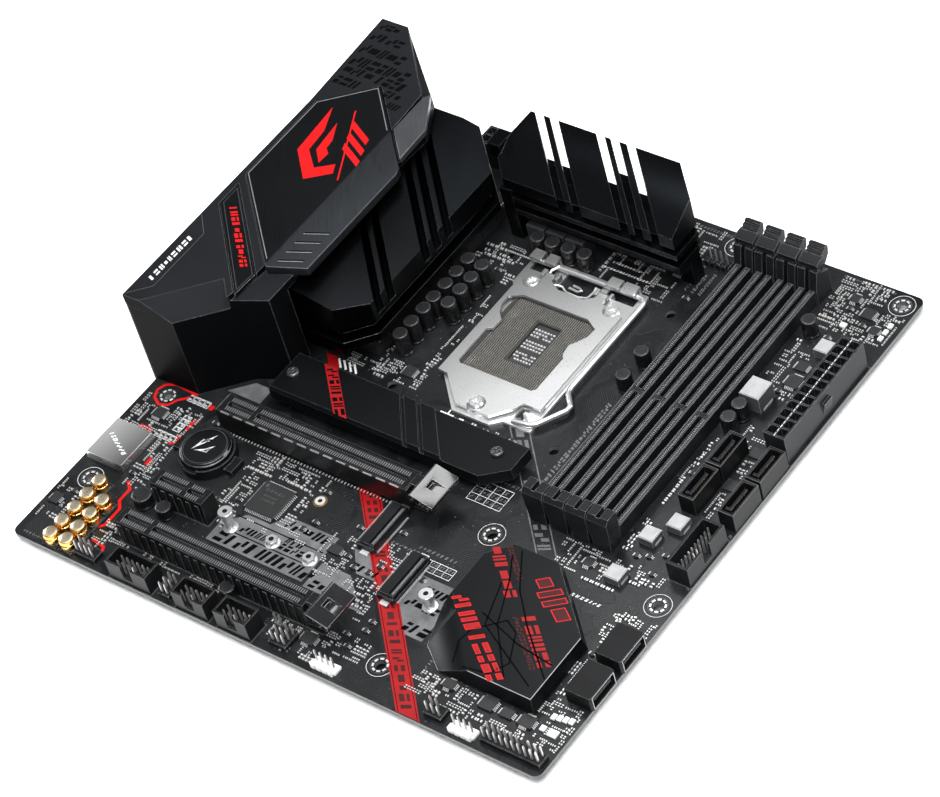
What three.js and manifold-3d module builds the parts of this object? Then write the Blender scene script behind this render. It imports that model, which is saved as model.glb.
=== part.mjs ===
// A micro-ATX computer motherboard, in millimetres, +Z up from the component side.
// Origin: centre of the circuit board's underside. X runs from the rear port edge (-X)
// to the front edge (+X), and Y from the expansion-slot edge (-Y) to the top edge (+Y).
import * as THREE from "three";
import { mergeVertices } from "three/addons/utils/BufferGeometryUtils.js";
import Module from "manifold-3d";

// ---- driving dimensions ----
const BOARD_SIDE = 243.84; // square micro-ATX outline
const HALF = BOARD_SIDE / 2;
const TOP = 1.6; // board thickness, so also the height of the component side
const CORNER_RADIUS = 3;
const MOUNT_HOLE_RADIUS = 1.98;
const MOUNT_PAD_RADIUS = 4.4;
const MOUNT_PAD_THICKNESS = 0.1;
const MOUNT_HOLES = [
  [-111.76, 92.71],
  [-111.76, -41.91],
  [-111.76, -87.63],
  [43.18, 115.57],
  [43.18, -41.91],
  [43.18, -107.95],
  [115.57, 115.57],
  [115.57, -41.91],
];
// The blank label on the underside, whose face holds the origin's x and y.
const LABEL = { x: [-14, 14], y: [-12.6, 0.6], thickness: 0.1 };
const GAP = 0.3; // clearance between neighbouring pieces

const SOCKET = { x: 2.3, y: 38 }; // centre of the processor socket
const COOLER_PITCH = 75; // square hole pattern of the processor cooler
const LEVER_AXIS = { y: 75.6, z: 4.4 };
const PLATE_AXIS = { y: 70.3, z: 4.8 };
const WIRE_RADIUS = 1.1;
const SCREW_HEAD_RADIUS = 3;
const SCREW_CLEARANCE = 3.7;
const REAR_SCREW = { dx: 18.6, y: 65.3 };
const SHOULDER_SCREW_Y = 4.6;

const DIMM_FIRST_X = 55.5;
const DIMM_PITCH = 9.43;
const DIMM_HEIGHT = 8.6; // top of the slot body above the origin plane
const DIMM_Y = { start: -30, end: 106, towerEnd: -23.6, cheekEnd: 111.5, key: 34.1 };
const DIMM_LATCH_AXIS = { y: 109, z: 4.9 };

const SLOT_PITCH = 20.32;
const FIRST_SLOT_Y = -41.3;
const SLOT_LEFT = -80;
const SLOT_HEIGHT = 12.85;
const SLOT_KEY_X = -65;
const X16_LENGTH = 89.5;
const X1_LENGTH = 25;

const POWER_CELL = 4.2; // pitch of the square cells in the power connectors
const POWER_HEIGHT = 14.6;

const COVER_TOP = 46.5;
const COVER_END = 125.4;
const PLATE_TOP = 48;
const SHIELD = { x0: -123.2, x1: -122.4, y0: -36.5, y1: 121.9, z0: -2.2, z1: 42.2 };

// ---- colours ----
const COLOURS = {
  board: [0x17191b, 0.55, 0.1],
  steel: [0xc9cbcd, 0.3, 0.95],
  darkSteel: [0x54575a, 0.4, 0.9],
  blackPlastic: [0x151617, 0.5, 0],
  greyPlastic: [0x3c3e41, 0.5, 0],
  palePlastic: [0xb9bbbc, 0.5, 0],
  gunmetal: [0x3a3d40, 0.42, 0.8],
  paleMetal: [0x6d7174, 0.4, 0.8],
  brushed: [0x2c2f32, 0.38, 0.85],
  battery: [0x1d1e20, 0.4, 0.4],
};
function material(name) {
  const [color, roughness, metalness] = COLOURS[name];
  return new THREE.MeshStandardMaterial({ color, roughness, metalness });
}

// ---- solid modelling helpers ----
const wasm = await Module();
wasm.setup();

function solidOf(geometry) {
  const bare = geometry.clone();
  bare.deleteAttribute("normal");
  bare.deleteAttribute("uv");
  const merged = mergeVertices(bare, 1e-4);
  return new wasm.Manifold(
    new wasm.Mesh({
      numProp: 3,
      vertProperties: merged.attributes.position.array,
      triVerts: new Uint32Array(merged.index.array),
    }),
  );
}

function geometryOf(solid) {
  const mesh = solid.getMesh();
  const geometry = new THREE.BufferGeometry();
  geometry.setAttribute(
    "position",
    new THREE.BufferAttribute(new Float32Array(mesh.vertProperties), 3),
  );
  geometry.setIndex(new THREE.BufferAttribute(new Uint32Array(mesh.triVerts), 1));
  const flat = geometry.toNonIndexed();
  flat.computeVertexNormals();
  return flat;
}

const join = (first, ...others) => others.reduce((sum, s) => sum.add(s), first);
const cut = (first, ...tools) => tools.reduce((rest, t) => rest.subtract(t), first);

function box([x0, x1], [y0, y1], [z0, z1]) {
  const geometry = new THREE.BoxGeometry(x1 - x0, y1 - y0, z1 - z0);
  return solidOf(geometry.translate((x0 + x1) / 2, (y0 + y1) / 2, (z0 + z1) / 2));
}

function cylinder(x, y, [z0, z1], radius, segments = 20, topRadius = radius) {
  const geometry = new THREE.CylinderGeometry(topRadius, radius, z1 - z0, segments);
  return solidOf(geometry.rotateX(Math.PI / 2).translate(x, y, (z0 + z1) / 2));
}

// A cylinder that lies along X.
function spindle([x0, x1], y, z, radius, segments = 14) {
  const geometry = new THREE.CylinderGeometry(radius, radius, x1 - x0, segments);
  return solidOf(geometry.rotateZ(Math.PI / 2).translate((x0 + x1) / 2, y, z));
}

function shapeOf(points) {
  return new THREE.Shape(points.map(([x, y]) => new THREE.Vector2(x, y)));
}

function prism(points, [z0, z1]) {
  const options = { depth: z1 - z0, bevelEnabled: false };
  return solidOf(new THREE.ExtrudeGeometry(shapeOf(points), options).translate(0, 0, z0));
}

// An outline in the plane of two axes, swept from w0 to w1 along the third axis, u x v.
function sweep(points, u, v, [w0, w1], origin = [0, 0, 0]) {
  const uAxis = new THREE.Vector3(...u).normalize();
  const vAxis = new THREE.Vector3(...v).normalize();
  const wAxis = new THREE.Vector3().crossVectors(uAxis, vAxis);
  const options = { depth: w1 - w0, bevelEnabled: false };
  const geometry = new THREE.ExtrudeGeometry(shapeOf(points), options).translate(0, 0, w0);
  geometry.applyMatrix4(new THREE.Matrix4().makeBasis(uAxis, vAxis, wAxis));
  return solidOf(geometry.translate(...origin));
}

// An outline in the YZ plane swept along X, and one in the XZ plane swept along Y.
const alongX = (points, range) => sweep(points, [0, 1, 0], [0, 0, 1], range);
const alongY = (points, [y0, y1]) =>
  sweep(points, [1, 0, 0], [0, 0, 1], [-y1, -y0]);

// A closed form between a lower and an upper outline with the same number of points.
function loft(lower, upper, z0, z1) {
  const count = lower.length;
  const positions = [
    ...lower.flatMap(([x, y]) => [x, y, z0]),
    ...upper.flatMap(([x, y]) => [x, y, z1]),
  ];
  const faces = (outline) =>
    THREE.ShapeUtils.triangulateShape(
      outline.map(([x, y]) => new THREE.Vector2(x, y)),
      [],
    );
  const index = faces(lower).flatMap(([a, b, c]) => [a, c, b]);
  index.push(...faces(upper).flatMap((face) => face.map((i) => i + count)));
  for (let i = 0; i < count; i++) {
    const j = (i + 1) % count;
    index.push(i, j, j + count, i, j + count, i + count);
  }
  const geometry = new THREE.BufferGeometry();
  geometry.setAttribute("position", new THREE.Float32BufferAttribute(positions, 3));
  geometry.setIndex(index);
  return solidOf(geometry);
}

// The same counter-clockwise outline moved outwards by a distance.
function outset(points, distance) {
  const count = points.length;
  return points.map((p, i) => {
    const before = points[(i + count - 1) % count];
    const after = points[(i + 1) % count];
    const a = new THREE.Vector2(p[0] - before[0], p[1] - before[1]).normalize();
    const b = new THREE.Vector2(after[0] - p[0], after[1] - p[1]).normalize();
    const normals = new THREE.Vector2(a.y + b.y, -a.x - b.x);
    const scale = (2 * distance) / normals.lengthSq();
    return [p[0] + normals.x * scale, p[1] + normals.y * scale];
  });
}

function roundedRectangle(halfX, halfY, radius, steps) {
  const points = [];
  [
    [1, -1, -Math.PI / 2],
    [1, 1, 0],
    [-1, 1, Math.PI / 2],
    [-1, -1, Math.PI],
  ].forEach(([sx, sy, start]) => {
    for (let i = 0; i <= steps; i++) {
      const angle = start + (i / steps) * (Math.PI / 2);
      points.push([
        sx * (halfX - radius) + radius * Math.cos(angle),
        sy * (halfY - radius) + radius * Math.sin(angle),
      ]);
    }
  });
  return points;
}

// ---- the assembly ----
const motherboard = new THREE.Group();

function add(name, solid, colour, position = [0, 0, 0]) {
  const mesh = new THREE.Mesh(geometryOf(solid), material(colour));
  mesh.name = name;
  mesh.position.set(...position);
  motherboard.add(mesh);
}

// ---- circuit board ----
const COOLER_HOLES = [-1, 1].flatMap((sx) =>
  [-1, 1].map((sy) => [
    SOCKET.x + (sx * COOLER_PITCH) / 2,
    SOCKET.y + (sy * COOLER_PITCH) / 2,
  ]),
);
const DRIVE_NUT_HOLE = [-24, -57.6];

function circuitBoard() {
  const outline = roundedRectangle(HALF, HALF, CORNER_RADIUS, 5);
  let board = join(
    prism(outline, [0, TOP]),
    box(LABEL.x, LABEL.y, [-LABEL.thickness, 0.5]),
  );
  for (const [x, y] of MOUNT_HOLES)
    board = join(board, cylinder(x, y, [-MOUNT_PAD_THICKNESS, 0.5], MOUNT_PAD_RADIUS, 16));
  for (const [x, y] of [...MOUNT_HOLES, ...COOLER_HOLES])
    board = cut(board, cylinder(x, y, [-1, TOP + 1], MOUNT_HOLE_RADIUS, 16));
  return cut(board, cylinder(...DRIVE_NUT_HOLE, [-1, TOP + 1], 1.5, 14));
}

// ---- processor socket ----
const aroundSocket = (points) => points.map(([x, y]) => [SOCKET.x + x, SOCKET.y + y]);

// The stiffening plate under the board, with three threaded bosses.
function socketBackplate() {
  const outline = aroundSocket([
    [-8, -37], [8, -37], [14, -26], [24, -20], [24, 31],
    [17, 34], [-17, 34], [-24, 31], [-24, -20], [-14, -26],
  ]);
  const opening = aroundSocket([[-13, -16], [13, -16], [13, 19], [-13, 19]]);
  const boss = (x, y) => cylinder(x, y, [-3.2, -0.5], 3.2, 16);
  return join(
    cut(prism(outline, [-1.8, 0]), prism(opening, [-3, 1])),
    boss(SOCKET.x - REAR_SCREW.dx, REAR_SCREW.y),
    boss(SOCKET.x + REAR_SCREW.dx, REAR_SCREW.y),
    boss(SOCKET.x, SHOULDER_SCREW_Y),
  );
}

// The moulded contact carrier: a rim, a contact floor and a central pocket.
function socketBody() {
  const outline = aroundSocket([
    [-20.2, -21], [18.2, -21], [20.2, -19], [20.2, 21], [-20.2, 21],
  ]);
  return cut(
    prism(outline, [TOP, 3.9]),
    box([SOCKET.x - 18.9, SOCKET.x + 18.9], [SOCKET.y - 19, SOCKET.y + 19], [3.3, 5]),
    box([-2.3, 8], [29.6, 49.6], [2.1, 5]),
  );
}

// The fixed steel frame: base sheet, four brackets over the lever, and the wire's catch.
function socketFrame() {
  const base = [
    [-6, -0.5], [11, -0.5], [15, 3], [27.4, 3], [27.4, 60], [27.9, 78.6],
    [-24.6, 78.6], [-24.6, 63], [-21, 60], [-21, 14],
  ];
  const opening = [[-18.5, 16.4], [23.1, 16.4], [23.1, 59.6], [-18.5, 59.6]];
  const catchWell = [[17.5, 6.5], [21.5, 6.5], [21.5, 12], [17.5, 12]];
  let frame = cut(
    prism(base, [TOP, 3]),
    prism(opening, [0, 5]),
    prism(catchWell, [0, 5]),
    box([-7, 9.4], [65.8, 76.9], [0, 5]),
    box([-22.6, -12], [71.6, 76.9], [0, 5]),
    box([12.4, 25.6], [71.6, 76.9], [0, 5]),
  );
  const brackets = [[-23.6, -18.4], [-16.6, -11.8], [12.2, 17.6], [18.8, 25]];
  for (const width of brackets) {
    frame = join(
      frame,
      box(width, [77.3, 78.6], [2.5, 7.1]),
      box(width, [73.8, 78.6], [6, 7.1]),
    );
  }
  const bearings = [[-15.2, -13.5], [-8.5, -7.2], [9.6, 11.0], [16.0, 17.2]];
  for (const width of bearings) frame = join(frame, box(width, [68.9, 72.2], [2.5, 5.6]));
  return join(frame, box([22.4, 24.2], [6.9, 8.5], [2.5, 6.6]));
}

// The hinged plate that presses on the processor, drawn closed.
function socketLoadPlate() {
  const outline = [
    [-5.2, 1.4], [10.2, 1.4], [17, 8.8], [18.4, 12.2], [26.3, 12.2], [26.3, 64],
    [15.5, 66.4], [15.5, 70.3], [11.5, 70.3], [11.5, 68], [8, 65.2], [-4, 65.2],
    [-9, 68], [-9, 70.3], [-13, 70.3], [-13, 66.4], [-21.5, 64], [-21.5, 12.5],
    [-17, 12.2], [-13.2, 8.6],
  ];
  const window = [
    [-15.8, 18.5], [17.3, 18.5], [18.8, 20], [18.8, 37], [17.4, 38.6], [16.6, 43.4],
    [18.6, 46.2], [20.7, 50], [21, 54.4], [15.5, 57.4], [-14.5, 57.4], [-19.6, 54.4],
    [-19.8, 50.3], [-17.4, 46], [-14.8, 43.5], [-15.2, 38.4], [-17.3, 37], [-17.3, 20],
  ];
  const clearance = (x, y) => cylinder(x, y, [3, 7], SCREW_CLEARANCE, 24);
  const sheet = join(
    prism(outline, [4.2, 5.4]),
    box([-21.5, -20.5], [15, 62], [3.4, 4.6]),
    box([25.3, 26.3], [15, 62], [3.4, 4.6]),
    spindle([-13, -9], PLATE_AXIS.y, PLATE_AXIS.z, 1),
    spindle([11.5, 15.5], PLATE_AXIS.y, PLATE_AXIS.z, 1),
  );
  return cut(
    sheet,
    prism(window, [3, 7]),
    clearance(SOCKET.x, SHOULDER_SCREW_Y),
    clearance(SOCKET.x - REAR_SCREW.dx, REAR_SCREW.y),
    clearance(SOCKET.x + REAR_SCREW.dx, REAR_SCREW.y),
  );
}

// The wire lever: hinge rod across the back, long arm on the right, handle bend and hook.
function socketLever() {
  const corners = [
    [-24.2, LEVER_AXIS.y], [29.4, LEVER_AXIS.y], [29.4, 24.6], [35.6, 18.4],
    [27.6, 5.2], [19.2, 4],
  ].map(([x, y]) => new THREE.Vector3(x, y, LEVER_AXIS.z));
  const bend = 2.2;
  const path = new THREE.CurvePath();
  let from = corners[0];
  for (let i = 1; i < corners.length - 1; i++) {
    const corner = corners[i];
    const towards = (other) =>
      corner.clone().add(other.clone().sub(corner).setLength(bend));
    const start = towards(corners[i - 1]);
    const end = towards(corners[i + 1]);
    path.add(new THREE.LineCurve3(from, start));
    path.add(new THREE.QuadraticBezierCurve3(start, corner, end));
    from = end;
  }
  path.add(new THREE.LineCurve3(from, corners.at(-1)));
  const circle = new THREE.Shape().absarc(0, 0, WIRE_RADIUS, 0, Math.PI * 2);
  const options = { steps: 56, curveSegments: 6, extrudePath: path };
  return solidOf(new THREE.ExtrudeGeometry(circle, options));
}

// A six-lobed screw head whose underside is at height z.
function socketScrew(z = 0) {
  const drive = (turn) =>
    sweep(
      [[-1.7, -0.35], [1.7, -0.35], [1.7, 0.35], [-1.7, 0.35]],
      [Math.cos(turn), Math.sin(turn), 0],
      [-Math.sin(turn), Math.cos(turn), 0],
      [z + 1.2, z + 3],
    );
  const head = join(
    cylinder(0, 0, [z, z + 1.2], SCREW_HEAD_RADIUS, 24),
    cylinder(0, 0, [z + 1.2, z + 1.9], SCREW_HEAD_RADIUS, 24, SCREW_HEAD_RADIUS - 0.6),
  );
  return cut(head, ...[0, 1, 2].map((i) => drive((i * Math.PI) / 3)));
}

const shoulderScrew = () => join(cylinder(0, 0, [0, 1.6], 2, 20), socketScrew(1.5));

// ---- memory slots ----
function dimmSlot() {
  const { start, end, towerEnd, cheekEnd, key } = DIMM_Y;
  const cheek = [
    [102.8, TOP], [cheekEnd, TOP], [cheekEnd, 12.8], [107.2, 15], [107.2, 16.8], [104.8, 16.8],
    [102.8, 9],
  ];
  const body = join(
    box([-3.3, 3.3], [start, end], [TOP, DIMM_HEIGHT]),
    loft(
      [[-3.6, start], [3.6, start], [3.6, towerEnd], [-3.6, towerEnd]],
      [[-4.4, start], [4.4, start], [4.4, towerEnd], [-4.4, towerEnd]],
      TOP,
      11,
    ),
    box([-4.4, 4.4], [start, towerEnd], [10.9, 18]),
    alongX([[102.6, TOP], [105.3, TOP], [105.3, 16.8], [104.6, 16.8], [102.6, 9]], [-4.2, 4.2]),
    alongX(cheek, [-4.2, -2.5]),
    alongX(cheek, [2.5, 4.2]),
    box([-3.3, 3.3], [103, cheekEnd], [TOP, 2.4]),
  );
  return cut(
    body,
    box([-0.9, 0.9], [start + 1.4, key - 0.9], [3, 20]),
    box([-0.9, 0.9], [key + 0.9, end + 1], [3, 20]),
    box([-2.2, -1.5], [-22.5, 102], [7.8, 10]),
    box([1.5, 2.2], [-22.5, 102], [7.8, 10]),
    alongX([[start - 1, 15], [start - 1, 19], [start + 2.5, 19]], [-6, 6]),
  );
}

// The module latch: a stem between the cheeks, a broad shoulder over them and a stepped finger tab.
function dimmLatch() {
  const stem = [
    [107.2, 3.2], [110.6, 3.2], [111.2, 6], [111.2, 18], [107.6, 18], [105.9, 16.8],
    [105.9, 15.4], [107.2, 14.6],
  ];
  const tab = [
    [108.2, 17.2], [111.2, 15.6], [114, 18.4], [114.6, 21.9], [113.8, 21.9],
    [113.8, 22.6], [112.4, 22.6], [112.4, 21.7], [111, 21.7], [111, 20.8],
    [109.6, 20.8], [109.6, 19.9], [108.2, 19.9],
  ];
  const shoulder = [[105.6, 17.3], [110.6, 17.3], [110.6, 20.4], [108.4, 20.4], [105.6, 19.4]];
  return join(
    alongX(stem, [-2.2, 2.2]),
    alongX(tab, [-3.5, 3.5]),
    alongX(shoulder, [-4.1, 4.1]),
  );
}

// ---- expansion slots ----
const slotY = (index) => FIRST_SLOT_Y - index * SLOT_PITCH;

function expansionSlot(length, halfWidth, withLatchFoot) {
  const right = SLOT_LEFT + length;
  let slot = cut(
    box([SLOT_LEFT, right], [-halfWidth, halfWidth], [TOP, SLOT_HEIGHT]),
    box([SLOT_LEFT + 2.2, SLOT_KEY_X - 0.9], [-0.95, 0.95], [4.5, 20]),
    box([SLOT_KEY_X + 0.9, right - 2], [-0.95, 0.95], [4.5, 20]),
  );
  if (withLatchFoot) slot = join(slot, box([right - 1, right + 6.5], [-3.4, 3.4], [TOP, 3]));
  return slot;
}

function slotShell() {
  const right = SLOT_LEFT + X16_LENGTH;
  return cut(
    box([SLOT_LEFT - 0.9, right + 0.9], [-4.9, 4.9], [3.6, 13]),
    box([SLOT_LEFT - GAP, right + GAP], [-4.3, 4.3], [3, 14]),
  );
}

const SLOT_LATCH_AXIS = { x: SLOT_LEFT + X16_LENGTH + 3.4, z: 5.4 };

// The card latch: a stem by the slot's end and a broad finger paddle.
function slotLatch() {
  const right = SLOT_LEFT + X16_LENGTH;
  const stem = [
    [right + 1.9, 3.9], [right + 5.4, 3.9], [right + 6, 9], [right + 8, 13.4],
    [right + 8, 15], [right + 1.2, 15], [right + 1.2, 13.6], [right + 2.4, 12.6],
  ];
  const paddle = [
    [right + 5.4, 13.2], [right + 14.5, 11.8], [right + 15.4, 12.6], [right + 15.4, 14],
    [right + 6.6, 16.6], [right + 5.4, 16.6],
  ];
  return cut(
    join(alongY(stem, [-2.6, 2.6]), alongY(paddle, [-8.2, 8.2])),
    box([right + 8.5, right + 20], [-2, 2], [14.2, 20]),
  );
}

// ---- power connectors ----
function powerConnector(columns, rows) {
  const halfX = (columns * POWER_CELL) / 2 + 0.3;
  const halfY = (rows * POWER_CELL) / 2 + 0.5;
  let housing = join(
    box([-halfX, halfX], [-halfY, halfY], [TOP, POWER_HEIGHT]),
    alongY(
      [[halfX - 0.5, 5], [halfX + 0.2, 5], [halfX + 1.2, 10.2], [halfX - 0.5, 10.2]],
      [-2.4, 2.4],
    ),
  );
  const bore = POWER_CELL / 2 - 0.4;
  for (let c = 0; c < columns; c++) {
    for (let r = 0; r < rows; r++) {
      const x = (c - (columns - 1) / 2) * POWER_CELL;
      const y = (r - (rows - 1) / 2) * POWER_CELL;
      housing = cut(housing, box([x - bore, x + bore], [y - bore, y + bore], [4, 20]));
    }
  }
  return housing;
}

// ---- drive and pin headers ----
// An upright drive port: a walled well with an L-shaped tongue.
function uprightDrivePort() {
  const [halfX, halfY, height] = [3.35, 8.1, 10.1];
  return join(
    cut(
      box([-halfX, halfX], [-halfY, halfY], [TOP, height]),
      box([-halfX + 0.9, halfX - 0.9], [-halfY + 1.1, halfY - 1.1], [3, 20]),
    ),
    box([-0.55, 0.65], [-halfY + 2.6, halfY - 2.8], [2.5, height - 0.8]),
    box([-1.9, 0.65], [-halfY + 2.6, -halfY + 3.7], [2.5, height - 0.8]),
  );
}

// A drive port lying down, its well facing the front edge.
function flatDrivePort() {
  const [halfY, depth, height] = [7.4, 11, 8.2];
  return join(
    cut(
      prism(
        [[0, -halfY], [depth - 0.8, -halfY], [depth, -halfY + 0.8], [depth, halfY - 0.8],
          [depth - 0.8, halfY], [0, halfY]],
        [TOP, height],
      ),
      box([4, depth + 1], [-halfY + 1.3, halfY - 1.3], [2.5, height - 0.9]),
    ),
    box([3.5, depth - 0.7], [-halfY + 2.4, halfY - 2.4], [4.6, 5.8]),
  );
}

function shroudedHeader(lengthX, lengthY, height, wall, keyOnX) {
  const [halfX, halfY] = [lengthX / 2, lengthY / 2];
  const key = keyOnX
    ? box([halfX - wall - 1, halfX + 1], [-2.2, 2.2], [TOP + 2.5, 20])
    : box([-2.2, 2.2], [-halfY - 1, -halfY + wall + 1], [TOP + 2.5, 20]);
  return cut(
    box([-halfX, halfX], [-halfY, halfY], [TOP, height]),
    box([-halfX + wall, halfX - wall], [-halfY + wall, halfY - wall], [TOP + 1.5, 20]),
    key,
  );
}

// ---- small parts on the board ----
function shieldCan() {
  const outline = [[-9.25, -9.75], [9.25, -9.75], [9.25, 9.75], [-9.25, 9.75]];
  return loft(outline, outset(outline, -0.5), TOP, 5.2);
}

const BATTERY = { x: -76, y: -59.6, radius: 10, floor: 5 };

function batteryHolder() {
  const { radius, floor } = BATTERY;
  return cut(
    join(
      cylinder(0, 0, [TOP, 6.4], radius + 1.2, 36),
      box([-15, -8], [-3, 3], [TOP, 4.4]),
      box([8, 14.4], [-3.6, 3.6], [TOP, 4.4]),
    ),
    cylinder(0, 0, [floor, 8], radius + 0.4, 36),
    box([-3, 3], [-13, -9], [floor, 8]),
  );
}

function coinCell() {
  const { radius, floor } = BATTERY;
  return join(
    cylinder(0, 0, [floor, floor + 2.6], radius, 36),
    cylinder(0, 0, [floor + 2.6, floor + 3.4], radius - 0.3, 36, radius - 0.9),
  );
}

// A card-edge socket for a small drive or radio card, its mouth facing `side` (-1 or 1) in X.
function cardSocket(side) {
  const [halfX, halfY] = [3.8, 11];
  return cut(
    join(
      box([-halfX, halfX], [-halfY, halfY], [TOP, 4.4]),
      box([-halfX * 0.7, halfX], [-halfY + 0.6, halfY - 0.6], [4.2, 5.8]),
    ),
    box(side > 0 ? [0.6, 8] : [-8, -0.6], [-halfY + 1.2, halfY - 1.2], [3.2, 4.6]),
  );
}

// ---- heatsinks ----
// A bar on the 45 degree diagonal x + y = sum, for the slanted grooves.
function diagonalGroove(sum, width, [z0, z1]) {
  const half = width / 2;
  return sweep(
    [[-half, z0], [half, z0], [half, z1], [-half, z1]],
    [1, 1, 0],
    [0, 0, 1],
    [-220, 220],
    [sum / 2, sum / 2, 0],
  );
}

const LEFT_SINK = { top: 39, fold: -67, edge: -43, edgeHeight: 33.5 };

function leftHeatsink() {
  const { top, fold, edge, edgeHeight } = LEFT_SINK;
  const outline = [
    [-85, -1.6], [-52.5, -1.6], [edge, 9], [edge, 85], [-59.5, 100.7], [-85, 100.7],
  ];
  const slope = (top - edgeHeight) / (edge - fold);
  const wedge = alongY(
    [[fold, top], [edge + 2, edgeHeight - 2 * slope], [edge + 2, top + 2], [fold, top + 2]],
    [-10, 110],
  );
  const grooves = [56, 48.7, 42, 20, 13].map((y) =>
    diagonalGroove(edge + y, 2.6, [26, 50]),
  );
  const block = cut(prism(outline, [24.5, top]), wedge, ...grooves);
  const fins = [0, 1].map((i) =>
    prism(outset(outline, -2.6), [19.6 + 2.5 * i, 20.6 + 2.5 * i]),
  );
  return join(
    block,
    prism([[-84, 4], [-56, 4], [-56, 94], [-84, 94]], [17.5, 25]),
    ...fins,
    prism(outline, [14, 18]),
    prism([[-83, 3], [-60, 3], [-60, 96], [-83, 96]], [3.5, 14.5]),
  );
}

const TOP_SINK = { top: 39.6, fold: 98.7, front: 85.2, frontHeight: 32, back: 114 };

function topHeatsink() {
  const { top, fold, front, frontHeight, back } = TOP_SINK;
  const outline = [
    [-38.5, front], [40, front], [40, 99.5], [25.5, back], [-44, back], [-44, 91],
  ];
  const wedge = alongX(
    [[front - 2, frontHeight - 1.1], [fold, top], [fold, top + 4], [front - 2, top + 4]],
    [-60, 60],
  );
  const slots = [-40, -33, -11.2, -4.5, 3].map((x) =>
    diagonalGroove(x + back, 2.8, [24.4, 50]),
  );
  const deepened = [[-40, 19.8], [-33, 16.6], [-11.2, 16.6], [-4.5, 25], [3, 16.6]].map(([x, z]) =>
    prism(
      [[x + 15.2, 96.8], [x + 19.2, 96.8], [x + 0.6, 115.4], [x - 3.4, 115.4]],
      [z, 40],
    ),
  );
  const tier = (z0, z1, inset) =>
    prism(
      [[-38 + inset, front + inset], [40 - inset, front + inset], [40 - inset, 98],
        [26, 112 - inset], [-42 + inset, 112 - inset], [-42 + inset, 92]],
      [z0, z1],
    );
  const tiers = cut(
    join(
      tier(23.6, 27, 3.4),
      tier(21.4, 23.7, -0.6),
      tier(17.4, 21.5, 3.4),
      tier(14.8, 17.5, -0.4),
      tier(10, 15, 2.4),
    ),
    ...deepened,
  );
  return join(
    cut(prism(outline, [26.5, top]), wedge, ...slots),
    tiers,
    box([-30, 30], [99, 110], [3.5, 11]),
    box([-49.2, -43.5], [92.6, 101], [33, 40]),
    box([-40.6, -35], [84.4, 90.4], [TOP, 27]),
    box([34.6, 40], [92, 98], [TOP, 16]),
  );
}

function driveHeatsink() {
  const outline = [[-70, -27.7], [28.5, -27.7], [38, -20], [38, -8.5], [-70, -8.5]];
  const raised = [[-70, -27.7], [11.6, -27.7], [-5.4, -8.5], [-70, -8.5]];
  const groove = (x) =>
    prism([[x, -30], [x + 1.9, -30], [x - 18.1, -6], [x - 20, -6]], [10.4, 14]);
  const frontChamfer = alongX([[-28.7, 9.4], [-26.6, 12.1], [-29, 12.1]], [-80, 12.4]);
  return cut(
    join(
      prism(outline, [6, 11.2]),
      prism(raised, [11, 12]),
      cylinder(-65.5, -18, [TOP, 6.5], 2.8),
      cylinder(28.5, -15.5, [TOP, 6.5], 2.8),
    ),
    groove(-4),
    groove(3.8),
    frontChamfer,
  );
}

function driveScrew() {
  return cut(
    join(cylinder(0, 0, [0, 0.9], 2.5, 20), cylinder(0, 0, [0.9, 1.4], 2.5, 20, 2)),
    box([-1.7, 1.7], [-0.35, 0.35], [0.6, 2]),
    box([-0.35, 0.35], [-1.7, 1.7], [0.6, 2]),
  );
}

function chipsetHeatsink() {
  const lower = [
    [47, -76], [53, -93.5], [63.5, -101], [77, -101], [105, -101], [105, -69],
    [77.5, -44.3], [57.5, -44.3], [47, -54],
  ];
  const upper = [
    [50.4, -73], [57, -79.8], [67, -90], [76.5, -99.5], [104, -99.5], [104, -69.5],
    [77, -45.5], [58, -45.5], [50.4, -54],
  ];
  return join(loft(lower, upper, 2.2, 8), box([62, 84], [-84, -62], [TOP, 3]));
}

// ---- rear port cover ----
const COVER_PLATE = [
  [-119.4, 33.6], [-80, -2.6], [-65.4, 4.2], [-65.4, 59], [-66.4, 61.9],
  [-100.5, 94.8], [-119.4, 77.6],
];
const COVER_STRIP = [[-119.5, 17.4], [-82.8, -18.2], [-82.2, -6.4], [-119.5, 28.8]];
const COVER_WING = [[-81.6, 77.9], [-69, 65.8], [-69.6, 83], [-79.8, 99.4], [-81.8, 97]];

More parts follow.
